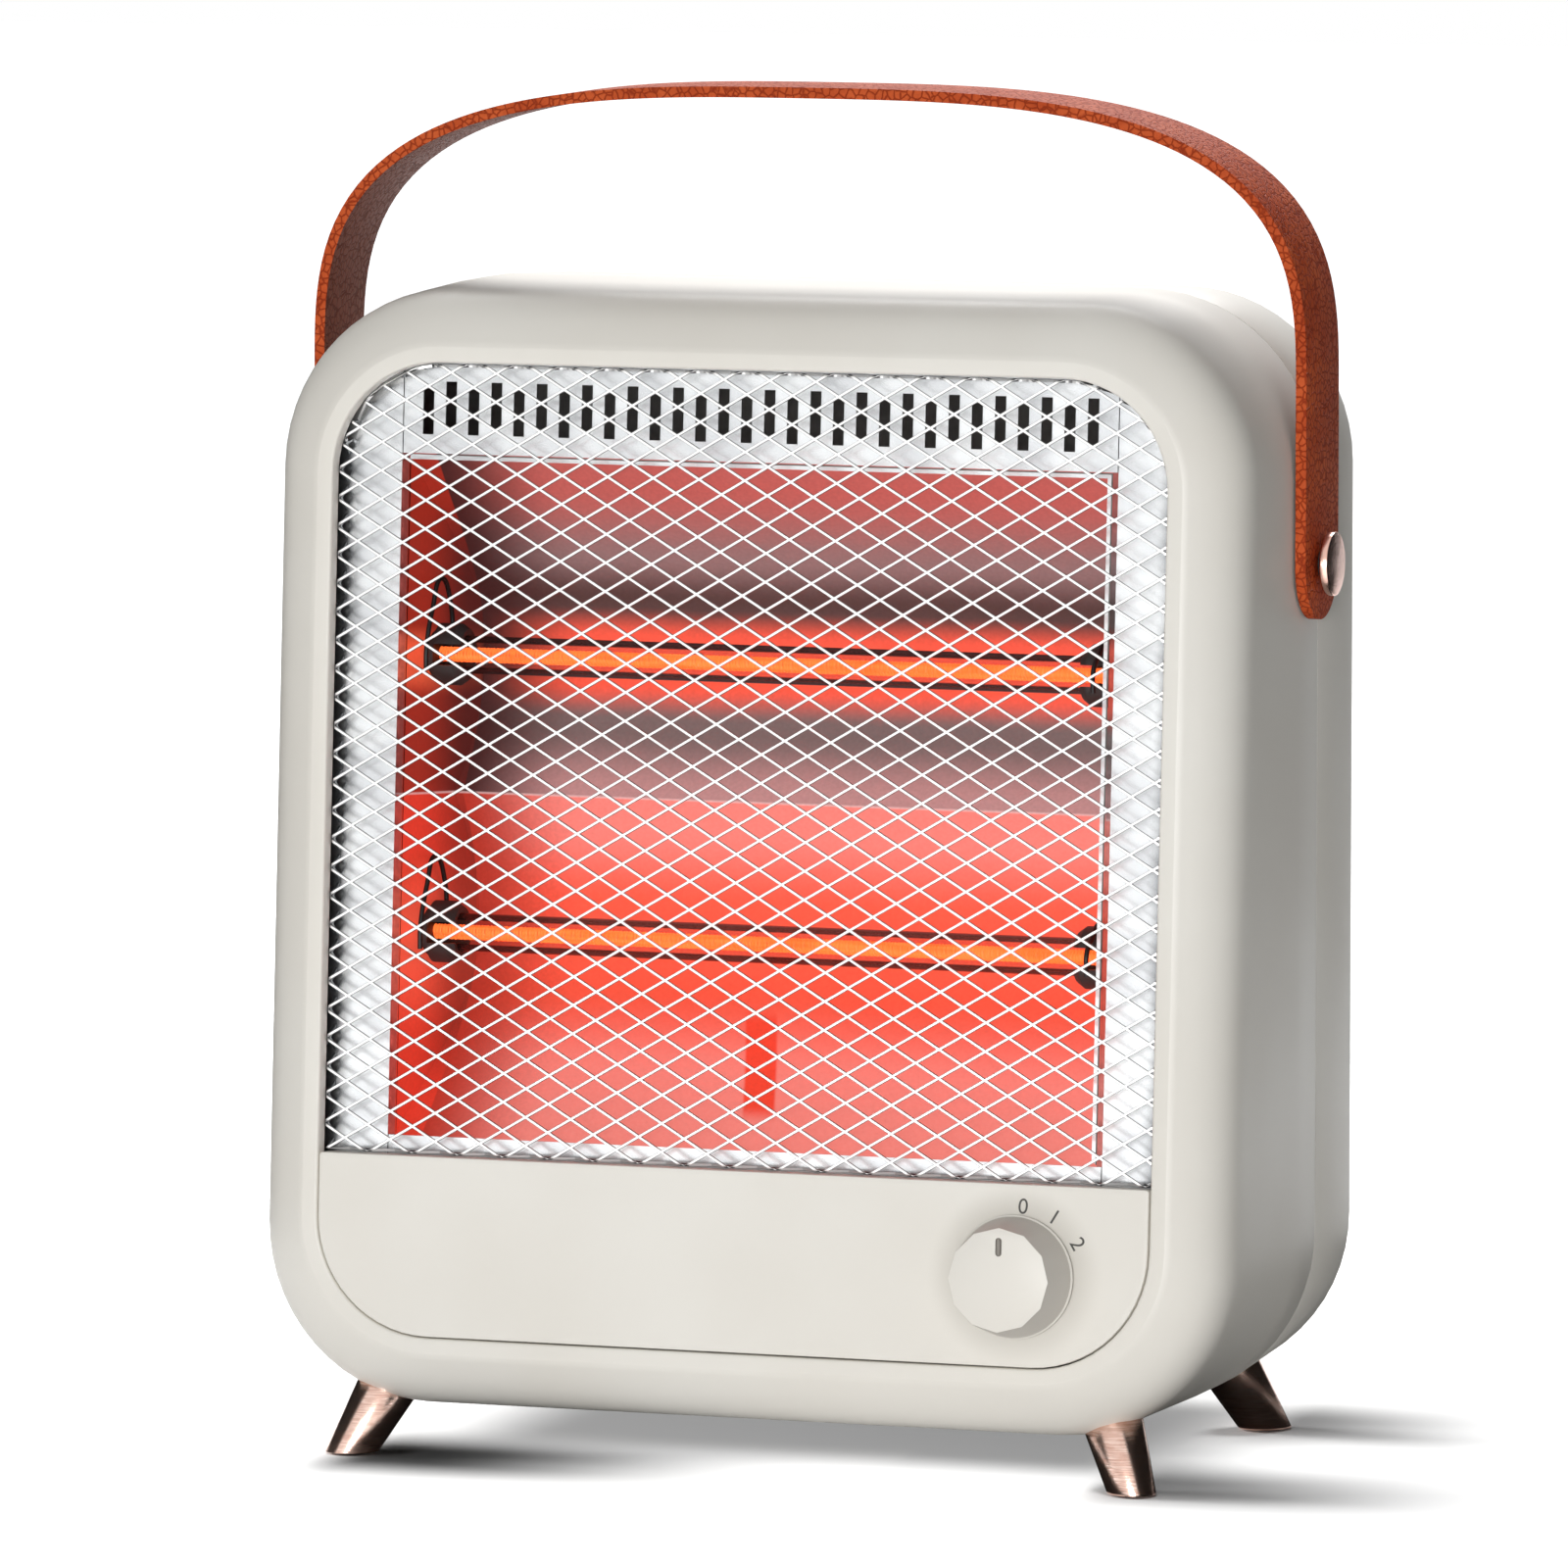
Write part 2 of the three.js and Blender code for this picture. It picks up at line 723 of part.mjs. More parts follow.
// Rotary switch behind the panel, with its threaded bush and nut
const switchFront = panel.skin + clearance;
const switchBlock = boxSolid(
  [knobX - rotary.wide / 2, knob.up - rotary.tall / 2, -switchFront - rotary.deep],
  [knobX + rotary.wide / 2, knob.up + rotary.tall / 2, -switchFront],
);
const bushStart = switchFront + rotary.deep / 2;
const switchBush = rod(
  rotary.bush,
  at(knobX, knob.up, -bushStart),
  axisZ,
  bushStart + rotary.bushProud,
);
const shaftEnd = -switchFront - shaft.behindPanel;
addPart('rotary_switch', cut(
  switchBlock.add(switchBush),
  rod(shaft.radius + clearance, at(knobX, knob.up, shaftEnd - clearance), axisZ, 2 * rotary.deep),
), 'blackPlastic', frontParts);
const nutPlace = at(knobX, knob.up, clearance);
const switchNut = hexNut(rotary.bush + clearance, rotary.nut, nutPlace, axisZ, rotary.nutThick);
addPart('switch_nut', switchNut, 'zinc', frontParts);

// Knob: a round skirt under a twelve-sided body, hollow over the nut, with a pointer slot
const knobTop = knob.standOff + knob.height;
const knobBody = new THREE.CylinderGeometry(knob.faceRadius, knob.footRadius, knob.height, knobSides);
const knobPlace = new THREE.Matrix4()
  .makeRotationX(quarterTurn)
  .setPosition(knobX, knob.up, knob.standOff + knob.height / 2);
const knobFoot = at(knobX, knob.up, knob.standOff);
const knobSkirt = rod(knob.skirtRadius, knobFoot, axisZ, knob.skirtHeight, 2 * roundSides);
const recessFloor = knob.standOff + knob.recessDepth;
const pointerTop = knob.up + knob.faceRadius - knob.pointerInset;
addPart('knob', cut(
  toSolid(knobBody, knobPlace).add(knobSkirt),
  rod(knob.recessRadius, at(knobX, knob.up, -cutOverrun), axisZ, cutOverrun + recessFloor),
  rod(shaft.radius + clearance, at(knobX, knob.up, 0), axisZ, shaft.intoKnob + clearance),
  boxSolid(
    [knobX - knob.pointerWide / 2, pointerTop - knob.pointerLong, knobTop - knob.pointerDeep],
    [knobX + knob.pointerWide / 2, pointerTop, knobTop + cutOverrun],
  ),
), 'cream', frontParts);
const shaftRod = rod(shaft.radius, at(knobX, knob.up, shaftEnd), axisZ, shaft.intoKnob - shaftEnd);
addPart('knob_shaft', shaftRod, 'zinc', frontParts);

// Grille: diamonds between crossing strands, kept clear of a solid rim, over a turned-back wall
const trayOutline = (grow) => roundedOutline(
  openingHalf - grille.gap + grow,
  panel.top + grille.gap - grow,
  openingHigh - grille.gap + grow,
  grille.bottomCorner,
  opening.topRadius - grille.gap + grow,
  trayCornerSteps,
);

// Part of a polygon that lies inside a convex outline
function clipped(polygon, outline) {
  let result = polygon;
  outline.forEach(([x1, y1], i) => {
    const [x2, y2] = outline[(i + 1) % outline.length];
    const side = ([x, y]) => (x2 - x1) * (y - y1) - (y2 - y1) * (x - x1);
    const kept = [];
    result.forEach((point, j) => {
      const next = result[(j + 1) % result.length];
      const [a, b] = [side(point), side(next)];
      if (a >= 0) kept.push(point);
      if (a * b < 0) {
        const share = a / (a - b);
        kept.push([point[0] + share * (next[0] - point[0]), point[1] + share * (next[1] - point[1])]);
      }
    });
    result = kept;
  });
  return result;
}
const areaOf = (points) => Math.abs(THREE.ShapeUtils.area(points.map(([x, y]) => new THREE.Vector2(x, y))));

function netHoles() {
  const inner = trayOutline(-grille.rim);
  const [halfWide, halfTall] = [grille.diamondWide / 2, grille.diamondTall / 2];
  const slant = Math.hypot(halfWide, halfTall);
  const shrink = 1 - (grille.strand * slant) / (2 * halfWide * halfTall);
  const low = panel.top + grille.gap;
  const columns = Math.ceil(openingHalf / halfWide) + 1;
  const rows = Math.ceil((openingHigh - low) / halfTall) + 1;
  const holes = [];
  for (let row = 0; row <= rows; row += 1) {
    for (let column = -columns; column <= columns; column += 1) {
      if ((row + column) % 2 !== 0) continue;
      const [x, up] = [column * halfWide, low + row * halfTall];
      const diamond = [
        [x + halfWide * shrink, up],
        [x, up + halfTall * shrink],
        [x - halfWide * shrink, up],
        [x, up - halfTall * shrink],
      ];
      const hole = clipped(diamond, inner);
      if (hole.length > 2 && areaOf(hole) > grille.smallestGap ** 2) holes.push(hole);
    }
  }
  return holes;
}
const trayWall = hollowSheet(
  trayOutline(0),
  trayOutline(-grille.thick),
  grille.depth,
  grille.depth + grille.trayDepth,
);
const net = cut(
  sheetBetween([trayOutline(0)], grille.depth, grille.depth + grille.thick),
  sheetBetween(netHoles(), grille.depth - cutOverrun, grille.depth + grille.thick + cutOverrun),
);
addPart('mesh_grille', net.add(trayWall), 'netSteel', frontParts);

// Polished face plates round the window
const coreMiddle = (windowLow + windowHigh) / 2;
const coreHalf = (windowHigh - windowLow) / 2;
const plateHalf = windowHalf - face.sheetGap;
const faceReach = faceHalf + cutOverrun;
const faceOutline = roundedOutline(
  faceHalf,
  faceLow,
  faceHigh,
  grille.bottomCorner,
  face.cornerRadius,
  trayCornerSteps,
);
const facePlate = sheetBetween([faceOutline], face.depth, face.depth + face.thick);
const plateBehind = face.depth + 2 * face.thick;
const faceRegion = (x1, up1, x2, up2) => boxSolid(
  [Math.min(x1, x2), up1, -plateBehind],
  [Math.max(x1, x2), up2, -face.depth + face.thick],
);
const faceScrewHoles = faceScrewPlaces.map(([x, up]) => (
  rod(plateScrew.shank + clearance, at(x, up, -plateBehind), axisZ, plateBehind, smallSides)
));
for (const [name, side] of [['left', -1], ['right', 1]]) {
  const region = faceRegion(
    side * windowHalf,
    faceLow - cutOverrun,
    side * faceReach,
    faceHigh + cutOverrun,
  );
  addPart(`side_plate_${name}`, cut(facePlate.intersect(region), ...faceScrewHoles), 'steel', frontParts);
}

const ventMiddle = (windowHigh + openingHigh) / 2;
const ventPitch = (2 * (windowHalf - vent.endGap)) / vent.slots;
const ventSlots = Array.from({ length: vent.slots }, (unused, i) => {
  const x = (i - (vent.slots - 1) / 2) * ventPitch;
  const middle = ventMiddle + (i % 2 === 0 ? -1 : 1) * (vent.stagger / 2);
  return [
    [x - vent.wide / 2, middle - vent.tall / 2],
    [x + vent.wide / 2, middle - vent.tall / 2],
    [x + vent.wide / 2, middle + vent.tall / 2],
    [x - vent.wide / 2, middle + vent.tall / 2],
  ];
});
addPart('vent_plate', cut(
  facePlate.intersect(faceRegion(-plateHalf, windowHigh, plateHalf, faceHigh + cutOverrun)),
  sheetBetween(ventSlots, face.depth - face.thick, plateBehind),
), 'steel', frontParts);
const bottomPlate = facePlate.intersect(faceRegion(-plateHalf, faceLow, plateHalf, windowLow));
addPart('bottom_plate', bottomPlate, 'steel', frontParts);

const screwUnder = face.depth + face.thick + clearance + plateScrew.headThick;
const plateScrewSolid = ([x, up]) => turned([
  [0, 0],
  [plateScrew.head, 0],
  [plateScrew.head, plateScrew.headThick],
  [plateScrew.shank, plateScrew.headThick],
  [plateScrew.shank, plateScrew.headThick + plateScrew.bite],
  [0, plateScrew.headThick + plateScrew.bite],
], at(x, up, -screwUnder), axisZ, smallSides);
for (const place of faceScrewPlaces) {
  const [x, up] = place;
  const corner = `${up > coreMiddle ? 'upper' : 'lower'}_${x < 0 ? 'left' : 'right'}`;
  addPart(`plate_screw_${corner}`, plateScrewSolid(place), 'zinc', frontParts);
}

// Reflector: one bent sheet with two troughs that meet in a ridge, between two leaning end walls
const rimDepth = face.depth + face.thick + clearance;
const troughHalf = troughShares.map(([across, deep], i) => {
  const shallow = i < ridgeShareCount ? reflector.ridgeDepth : rimDepth;
  return [coreHalf * across, shallow + (reflector.troughDepth - shallow) * deep];
});
const upperHalf = [...troughHalf, [coreHalf, rimDepth], [coreHalf + reflector.flange, rimDepth]];
const troughLine = [...upperHalf.slice(1).reverse().map(([across, deep]) => [-across, deep]), ...upperHalf];

// Open line given a sheet's thickness on its deeper side
function thickLine(points, thick) {
  const shifted = points.map((point, i) => {
    const before = points[Math.max(i - 1, 0)];
    const after = points[Math.min(i + 1, points.length - 1)];
    const [dx, dy] = [after[0] - before[0], after[1] - before[1]];
    const length = Math.hypot(dx, dy);
    return [point[0] - (thick * dy) / length, point[1] + (thick * dx) / length];
  });
  return [...points, ...shifted.reverse()];
}
const windowReach = windowHalf + reflector.flange;
const troughTurn = new THREE.Matrix4()
  .makeBasis(axisY, opposite(axisZ), opposite(axisX))
  .setPosition(windowReach, coreMiddle, 0);
const troughSheet = prisms([thickLine(troughLine, reflector.sheet)], 2 * windowReach, troughTurn);

// Where the inner face of an end wall lies at a depth
const wallEndDepth = reflector.troughDepth + 2 * reflector.sheet;
const endSlope = reflector.endLean / (reflector.troughDepth - rimDepth);
const endX = (depth) => windowHalf - reflector.sideGap - (depth - rimDepth) * endSlope;
const wedgeDeep = wallEndDepth + cutOverrun;
const wedge = [
  [clearance - endX(0), 0],
  [endX(0) - clearance, 0],
  [endX(wedgeDeep) - clearance, wedgeDeep],
  [clearance - endX(wedgeDeep), wedgeDeep],
];
// Prism on an outline of [x, depth] pairs, standing along the front plane
const standingPrism = (points, low, high) => prisms(
  [points],
  high - low,
  new THREE.Matrix4().makeBasis(axisX, opposite(axisZ), axisY).setPosition(0, low, 0),
);
const wedgeSolid = standingPrism(wedge, windowLow - 2 * reflector.flange, windowHigh + 2 * reflector.flange);
addPart('reflector', troughSheet.intersect(wedgeSolid), 'glowRed', frontParts);

const tubeRows = [
  ['lower', coreMiddle - tubeRowShare * coreHalf],
  ['upper', coreMiddle + tubeRowShare * coreHalf],
];
for (const [name, side] of [['left', -1], ['right', 1]]) {
  const bent = [
    [side * endX(rimDepth), rimDepth],
    [side * (endX(rimDepth) + reflector.flange), rimDepth],
    [side * (endX(rimDepth) + reflector.flange), rimDepth + reflector.sheet],
    [side * (endX(rimDepth) + reflector.sheet), rimDepth + reflector.sheet],
    [side * (endX(wallEndDepth) + reflector.sheet), wallEndDepth],
    [side * endX(wallEndDepth), wallEndDepth],
  ];
  const holes = tubeRows.map(([, up]) => rod(
    holder.neck + clearance,
    at(side * (endX(wallEndDepth) - cutOverrun), up, -tube.depth),
    axisX.clone().multiplyScalar(side),
    bodyHalf,
  ));
  const endWall = standingPrism(bent, windowLow, windowHigh);
  addPart(`reflector_end_${name}`, cut(endWall, ...holes), 'glowRed', frontParts);
}

// Quartz tubes, their glowing cores, and the ceramic holders at their ends
const holderInner = endX(tube.depth) - holder.inside;
const holderLong = holder.inside + holder.outside;
const tubeHalf = holderInner + tube.socket;
for (const [row, up] of tubeRows) {
  const start = at(-tubeHalf, up, -tube.depth);
  const glass = ring(tube.outer - tube.glass, tube.outer, start, axisX, 2 * tubeHalf);
  addPart(`quartz_tube_${row}`, glass, 'quartz', frontParts);
  const core = rod(tube.core, start, axisX, 2 * tubeHalf, smallSides);
  addPart(`heating_core_${row}`, core, 'glowCore', frontParts);
  for (const [name, side] of [['left', -1], ['right', 1]]) {
    const bore = tube.outer + clearance;
    const profile = [
      [bore, 0],
      [holder.flange, 0],
      [holder.flange, holder.flangeThick],
      [holder.neck, holder.flangeThick],
      [holder.neck, holderLong],
      [0, holderLong],
      [0, tube.socket + clearance],
      [bore, tube.socket + clearance],
      [bore, 0],
    ];
    const place = at(side * holderInner, up, -tube.depth);
    const solid = turned(profile, place, axisX.clone().multiplyScalar(side));
    addPart(`tube_holder_${row}_${name}`, solid, 'ceramic', frontParts);
  }
}

// Wire clips over the holders: tall bails on the left, low ones on the right
const clipX = holderInner + clip.fromInnerEnd;
function bail(x, up, rise) {
  const waist = clip.radius * bailWaistShare;
  return wireAlong([
    at(x, up - clip.drop, clip.radius - tube.depth),
    at(x, up, clip.radius - tube.depth),
    at(x, up + rise * bailRiseShare, waist - tube.depth),
    at(x, up + rise, -tube.depth),
    at(x, up + rise * bailRiseShare, -waist - tube.depth),
    at(x, up, -clip.radius - tube.depth),
    at(x, up - clip.drop, -clip.radius - tube.depth),
  ], clip.wire, bailSegmentSteps);
}
for (const [row, up] of tubeRows) {
  addPart(`tube_clip_${row}_left`, bail(-clipX, up, clipRiseShare * coreHalf), 'blackWire', frontParts);
  addPart(`tube_clip_${row}_right`, bail(clipX, up, clip.lowRise), 'blackWire', frontParts);
}

// Leather strap: upright ends with round tips, joined by a full arch
function strapRing(x, z, normalX, normalZ) {
  const [near, far] = [pivotY - handle.wide / 2, pivotY + handle.wide / 2];
  const [outerX, outerZ] = [x + normalX * handle.leather, z + normalZ * handle.leather];
  return [at(x, near, z), at(x, far, z), at(outerX, far, outerZ), at(outerX, near, outerZ)];
}
function strapRings() {
  const springLine = handle.pivotZ + handle.straight;
  const rise = bodyTop + handle.aboveCasing - handle.leather - springLine;
  const arch = Array.from({ length: archSteps + 1 }, (unused, i) => {
    const angle = (2 * quarterTurn * i) / archSteps;
    const side = Math.sign(Math.cos(angle));
    const across = side * Math.abs(Math.cos(angle)) ** (2 / archPower);
    const aloft = Math.abs(Math.sin(angle)) ** (2 / archPower);
    const normal = new THREE.Vector2(
      (side * Math.abs(across) ** (archPower - 1)) / strapInner,
      aloft ** (archPower - 1) / rise,
    ).normalize();
    return strapRing(strapInner * across, springLine + rise * aloft, normal.x, normal.y);
  });
  return [strapRing(strapInner, handle.pivotZ, 1, 0), ...arch, strapRing(-strapInner, handle.pivotZ, -1, 0)];
}
const strapTip = (side) => rod(
  handle.wide / 2,
  at(side * strapInner, pivotY, handle.pivotZ),
  axisX.clone().multiplyScalar(side),
  handle.leather,
);
const strapBore = (side) => rod(
  stud.neck + clearance,
  at(side * (strapInner - cutOverrun), pivotY, handle.pivotZ),
  axisX.clone().multiplyScalar(side),
  handle.leather + 2 * cutOverrun,
);
const strapSkin = toSolid(loft(strapRings(), true));
addPart('handle_strap', cut(joined(strapSkin, ...sides.map(strapTip)), ...sides.map(strapBore)), 'leather');

const studFace = strapOuter + stud.neckLong + stud.disc;
for (const [name, side] of [['left', -1], ['right', 1]]) {
  const outward = axisX.clone().multiplyScalar(side);
  const long = studFace - bodyHalf + stud.shankInside;
  addPart(`handle_stud_${name}`, turned([
    [0, 0],
    [stud.neck, 0],
    [stud.neck, long - stud.disc],
    [stud.discRadius - stud.rim, long - stud.disc],
    [stud.discRadius, long - stud.disc + stud.rim],
    [stud.discRadius, long - stud.rim],
    [stud.discRadius - stud.rim, long],
    [0, long],
  ], at(side * (bodyHalf - stud.shankInside), pivotY, handle.pivotZ), outward), 'roseGold');
  addPart(`stud_spacer_${name}`, ring(
    stud.neck + clearance,
    spacer.radius,
    at(side * (strapOuter + (stud.neckLong - spacer.thick) / 2), pivotY, handle.pivotZ),
    outward,
    spacer.thick,
  ), 'rubber');
  addPart(`stud_nut_${name}`, hexNut(
    stud.neck + clearance,
    stud.nut,
    at(side * (bodyHalf - body.wall - 2 * clearance - stud.nutThick), pivotY, handle.pivotZ),
    outward,
    stud.nutThick,
  ), 'zinc');
}

// Terminal block on the floor
const blockBottom = standoffTop + clearance;
const terminalBlock = boxSolid(
  [terminals.x - terminals.wide / 2, terminalY - terminals.deep / 2, blockBottom],
  [terminals.x + terminals.wide / 2, terminalY + terminals.deep / 2, blockBottom + terminals.tall],
);
const terminalX = Array.from({ length: terminals.ways }, (unused, i) => (
  terminals.x + ((i + 1 / 2) / terminals.ways - 1 / 2) * terminals.wide
));
const terminalZ = blockBottom + terminals.tall / 2;
addPart('terminal_block', cut(terminalBlock, ...terminalX.map((x) => (
  rod(terminals.wayBore, at(x, terminalY - terminals.deep, terminalZ), axisY, 2 * terminals.deep, smallSides)
))), 'cream');

// Tip-over switch: a weighted pendulum on a pin between two cheeks
const pinZ = blockBottom + tipSwitch.pinUp;
const cheekInner = tipSwitch.hubLong / 2 + 2 * clearance;
const cheekOuter = cheekInner + tipSwitch.cheekThick;
const cheeks = sides.map((side) => boxSolid(
  [
    tipSwitch.x + Math.min(side * cheekInner, side * cheekOuter),
    tipY - tipSwitch.cheekDeep / 2,
    blockBottom + tipSwitch.baseThick / 2,
  ],
  [
    tipSwitch.x + Math.max(side * cheekInner, side * cheekOuter),
    tipY + tipSwitch.cheekDeep / 2,
    blockBottom + tipSwitch.cheekTop,
  ],
));
const tipPlate = boxSolid(
  [tipSwitch.x - tipSwitch.baseWide / 2, tipY - tipSwitch.baseDeep / 2, blockBottom],
  [tipSwitch.x + tipSwitch.baseWide / 2, tipY + tipSwitch.baseDeep / 2, blockBottom + tipSwitch.baseThick],
);
const acrossSwitch = (radius, halfLong, drop) => (
  rod(radius, at(tipSwitch.x - halfLong, tipY, pinZ - drop), axisX, 2 * halfLong)
);
addPart('tip_switch_frame', joined(tipPlate, ...cheeks, acrossSwitch(tipSwitch.pin, cheekOuter, 0)), 'zinc');
addPart('tip_switch_pendulum', cut(
  joined(
    acrossSwitch(tipSwitch.hub, tipSwitch.hubLong / 2, 0),
    rod(tipSwitch.arm, at(tipSwitch.x, tipY, pinZ), opposite(axisZ), tipSwitch.weightDrop, smallSides),
    acrossSwitch(tipSwitch.weight, tipSwitch.hubLong / 2, tipSwitch.weightDrop),
  ),
  acrossSwitch(tipSwitch.pin + clearance, cheekOuter, 0),
), 'zinc');
const microBottom = blockBottom + tipSwitch.cheekTop + clearance;
addPart('tip_micro_switch', boxSolid(
  [tipSwitch.x - cheekOuter, tipY - tipSwitch.bodyDeep / 2, microBottom],
  [tipSwitch.x + cheekOuter, tipY + tipSwitch.bodyDeep / 2, microBottom + tipSwitch.bodyTall],
), 'blackPlastic');

// Thermal cut-out on the back of the upper trough
const cutoutUp = coreMiddle + Math.max(...troughHalf.map(([across, deep]) => (
  deep === reflector.troughDepth ? across : 0
)));
const cutoutFront = reflector.troughDepth + reflector.sheet + clearance;
addPart('thermal_cutout', turned([
  [0, 0],
  [cutout.radius + cutout.ear, 0],
  [cutout.radius + cutout.ear, reflector.sheet],
  [cutout.radius, reflector.sheet],
  [cutout.radius, cutout.thick],
  [0, cutout.thick],
], at(cutout.x, cutoutUp, -cutoutFront), opposite(axisZ)), 'blackPlastic', frontParts);

// Wires from the terminal block to the switch, the cut-out and the two tubes
const fromFront = (x, up, depth) => at(x, up, -depth).applyMatrix4(frontPlane);
const { bend } = wire;
const blockFront = terminalY - terminals.deep / 2 - wire.gap;
const blockRear = terminalY + terminals.deep / 2 + wire.gap;
const switchBack = switchFront + rotary.deep + wire.gap;
const switchEnd = fromFront(knobX, knob.up, switchBack);
const cutoutBack = cutoutFront + cutout.thick + wire.gap;
const cutoutEnd = fromFront(cutout.x, cutoutUp, cutoutBack);
const [firstWay, secondWay, thirdWay, fourthWay] = terminalX;
addPart('wire_to_switch', wireAlong([
  at(fourthWay, blockFront, terminalZ),
  at(fourthWay, blockFront - bend, terminalZ),
  at((fourthWay + knobX) / 2, (blockFront + switchEnd.y) / 2, terminalZ + bend),
  at(knobX - bend, switchEnd.y + 2 * bend, switchEnd.z),
  fromFront(knobX, knob.up, switchBack + bend / 2),
  switchEnd,
], wire.radius, wireSegmentSteps), 'redWire');
addPart('wire_to_cutout', wireAlong([
  at(thirdWay, blockRear, terminalZ),
  at(thirdWay, blockRear + bend, terminalZ + bend / 2),
  at((thirdWay + cutout.x) / 2, blockRear, (terminalZ + cutoutEnd.z) / 2),
  at(cutout.x, (blockRear + cutoutEnd.y) / 2, cutoutEnd.z - bend),
  fromFront(cutout.x, cutoutUp, cutoutBack + bend / 2),
  cutoutEnd,
], wire.radius, wireSegmentSteps), 'blackPlastic');
const laneX = -holderInner - holderLong - bend;
[firstWay, secondWay].forEach((way, i) => {
  const [row, up] = tubeRows[i];
  const end = fromFront(-holderInner - holderLong - wire.gap, up, tube.depth);
  addPart(`wire_to_tube_${row}`, wireAlong([
    at(way, blockFront, terminalZ),
    at(way, blockFront - bend, terminalZ + i * bend),
    at((way + laneX) / 2, blockFront - (2 - i) * bend, terminalZ + (1 + 2 * i) * bend),
    at(laneX, end.y + (3 + 2 * i) * bend, (terminalZ + end.z) / 2),
    at(laneX, end.y + bend, end.z - bend),
    end.clone().add(at(-bend / 2, 0, 0)),
    end,
  ], wire.radius, wireSegmentSteps), 'redWire');
});

// Origin on the floor, under the middle of the whole part
const bounds = new THREE.Box3().setFromObject(heater);
const middle = bounds.getCenter(new THREE.Vector3());
heater.position.set(-middle.x, -middle.y, -bounds.min.z);
heater.updateMatrixWorld(true);

export default heater;
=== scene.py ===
import json
import math

import bmesh
import bpy
from mathutils import Matrix, Vector

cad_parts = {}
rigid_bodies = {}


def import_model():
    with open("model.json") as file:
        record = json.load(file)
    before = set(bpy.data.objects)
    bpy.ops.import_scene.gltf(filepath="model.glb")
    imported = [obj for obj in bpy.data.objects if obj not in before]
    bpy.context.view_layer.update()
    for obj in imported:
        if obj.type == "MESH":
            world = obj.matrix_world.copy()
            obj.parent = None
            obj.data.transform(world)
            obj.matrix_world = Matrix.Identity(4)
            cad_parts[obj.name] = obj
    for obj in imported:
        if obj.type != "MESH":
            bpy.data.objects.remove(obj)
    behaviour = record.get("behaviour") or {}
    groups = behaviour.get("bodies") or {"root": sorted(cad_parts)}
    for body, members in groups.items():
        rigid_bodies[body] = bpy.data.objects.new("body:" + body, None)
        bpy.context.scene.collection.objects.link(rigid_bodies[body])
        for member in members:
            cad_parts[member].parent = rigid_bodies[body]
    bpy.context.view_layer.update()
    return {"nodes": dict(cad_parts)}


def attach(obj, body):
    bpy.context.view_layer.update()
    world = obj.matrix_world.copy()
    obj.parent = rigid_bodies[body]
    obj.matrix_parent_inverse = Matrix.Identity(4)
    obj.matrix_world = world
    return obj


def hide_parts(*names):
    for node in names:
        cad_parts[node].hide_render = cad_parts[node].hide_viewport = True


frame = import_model()
scene = bpy.context.scene
nodes = frame["nodes"]
print("frame loaded:", len(nodes), "nodes")

# Lengths below are millimetres; a finished piece is scaled to metres
mm = 0.001
quarter = math.pi / 2
lean = math.radians(3.97)  # the front leans back, the back stands upright
frontWay = (0, -math.cos(lean), math.sin(lean))  # straight out of the front
frontFoot = -70.309  # where the front plane meets the floor

# camera first: the photograph's own angle, found from the casing's corners
camera = {"place": (1.2357, -3.5718, 0.5922), "look": (-0.3265, 0.9393, -0.1050), "lens": 301.8}
bpy.ops.object.camera_add(location=camera["place"])
view = bpy.context.object
view.rotation_euler = Vector(camera["look"]).to_track_quat("-Z", "Y").to_euler()
view.data.lens = camera["lens"]
view.data.sensor_width = 36
view.data.clip_end = 60
scene.camera = view
scene.view_settings.view_transform = "Standard"


# small helpers for modelling
def settle():
    # object mode with nothing picked
    if bpy.context.object and bpy.context.object.mode == "EDIT":
        bpy.ops.object.mode_set(mode="OBJECT")
    bpy.ops.object.select_all(action="DESELECT")


def blank(name):
    # an empty mesh, open for editing
    settle()
    bpy.ops.mesh.primitive_plane_add(size=1)
    piece = bpy.context.object
    piece.name = name
    bpy.ops.object.mode_set(mode="EDIT")
    bpy.ops.mesh.delete(type="VERT")
    return piece


def openShape():
    return bmesh.from_edit_mesh(bpy.context.object.data)


def pick(test, kind="VERT"):
    # picks what passes the test, which is given a place and a normal
    bpy.ops.mesh.select_mode(type=kind)
    bpy.ops.mesh.select_all(action="DESELECT")
    shape = openShape()
    shape.normal_update()
    items = {"VERT": shape.verts, "EDGE": shape.edges, "FACE": shape.faces}[kind]
    for item in items:
        if kind == "VERT":
            place, normal = item.co, item.normal
        else:
            place = sum((v.co for v in item.verts), Vector()) / len(item.verts)
            normal = item.normal if kind == "FACE" else place
        item.select_set(bool(test(place, normal)))
    shape.select_flush_mode()
    bmesh.update_edit_mesh(bpy.context.object.data)


def tidyNormals():
    bpy.ops.mesh.select_all(action="SELECT")
    bpy.ops.mesh.remove_doubles(threshold=0.002)
    bpy.ops.mesh.normals_make_consistent(inside=False)


def work(piece, kind, **settings):
    # adds a modifier and applies it
    settle()
    bpy.context.view_layer.objects.active = piece
    modifier = piece.modifiers.new(kind.lower(), kind)
    for key, value in settings.items():
        setattr(modifier, key, value)
    bpy.ops.object.modifier_apply(modifier=modifier.name)


def carve(piece, tool, operation="DIFFERENCE"):
    work(piece, "BOOLEAN", object=tool, operation=operation, solver="EXACT")
    bpy.data.objects.remove(tool)


def choose(piece):
    # object mode, with this piece alone picked
    settle()
    piece.select_set(True)
    bpy.context.view_layer.objects.active = piece


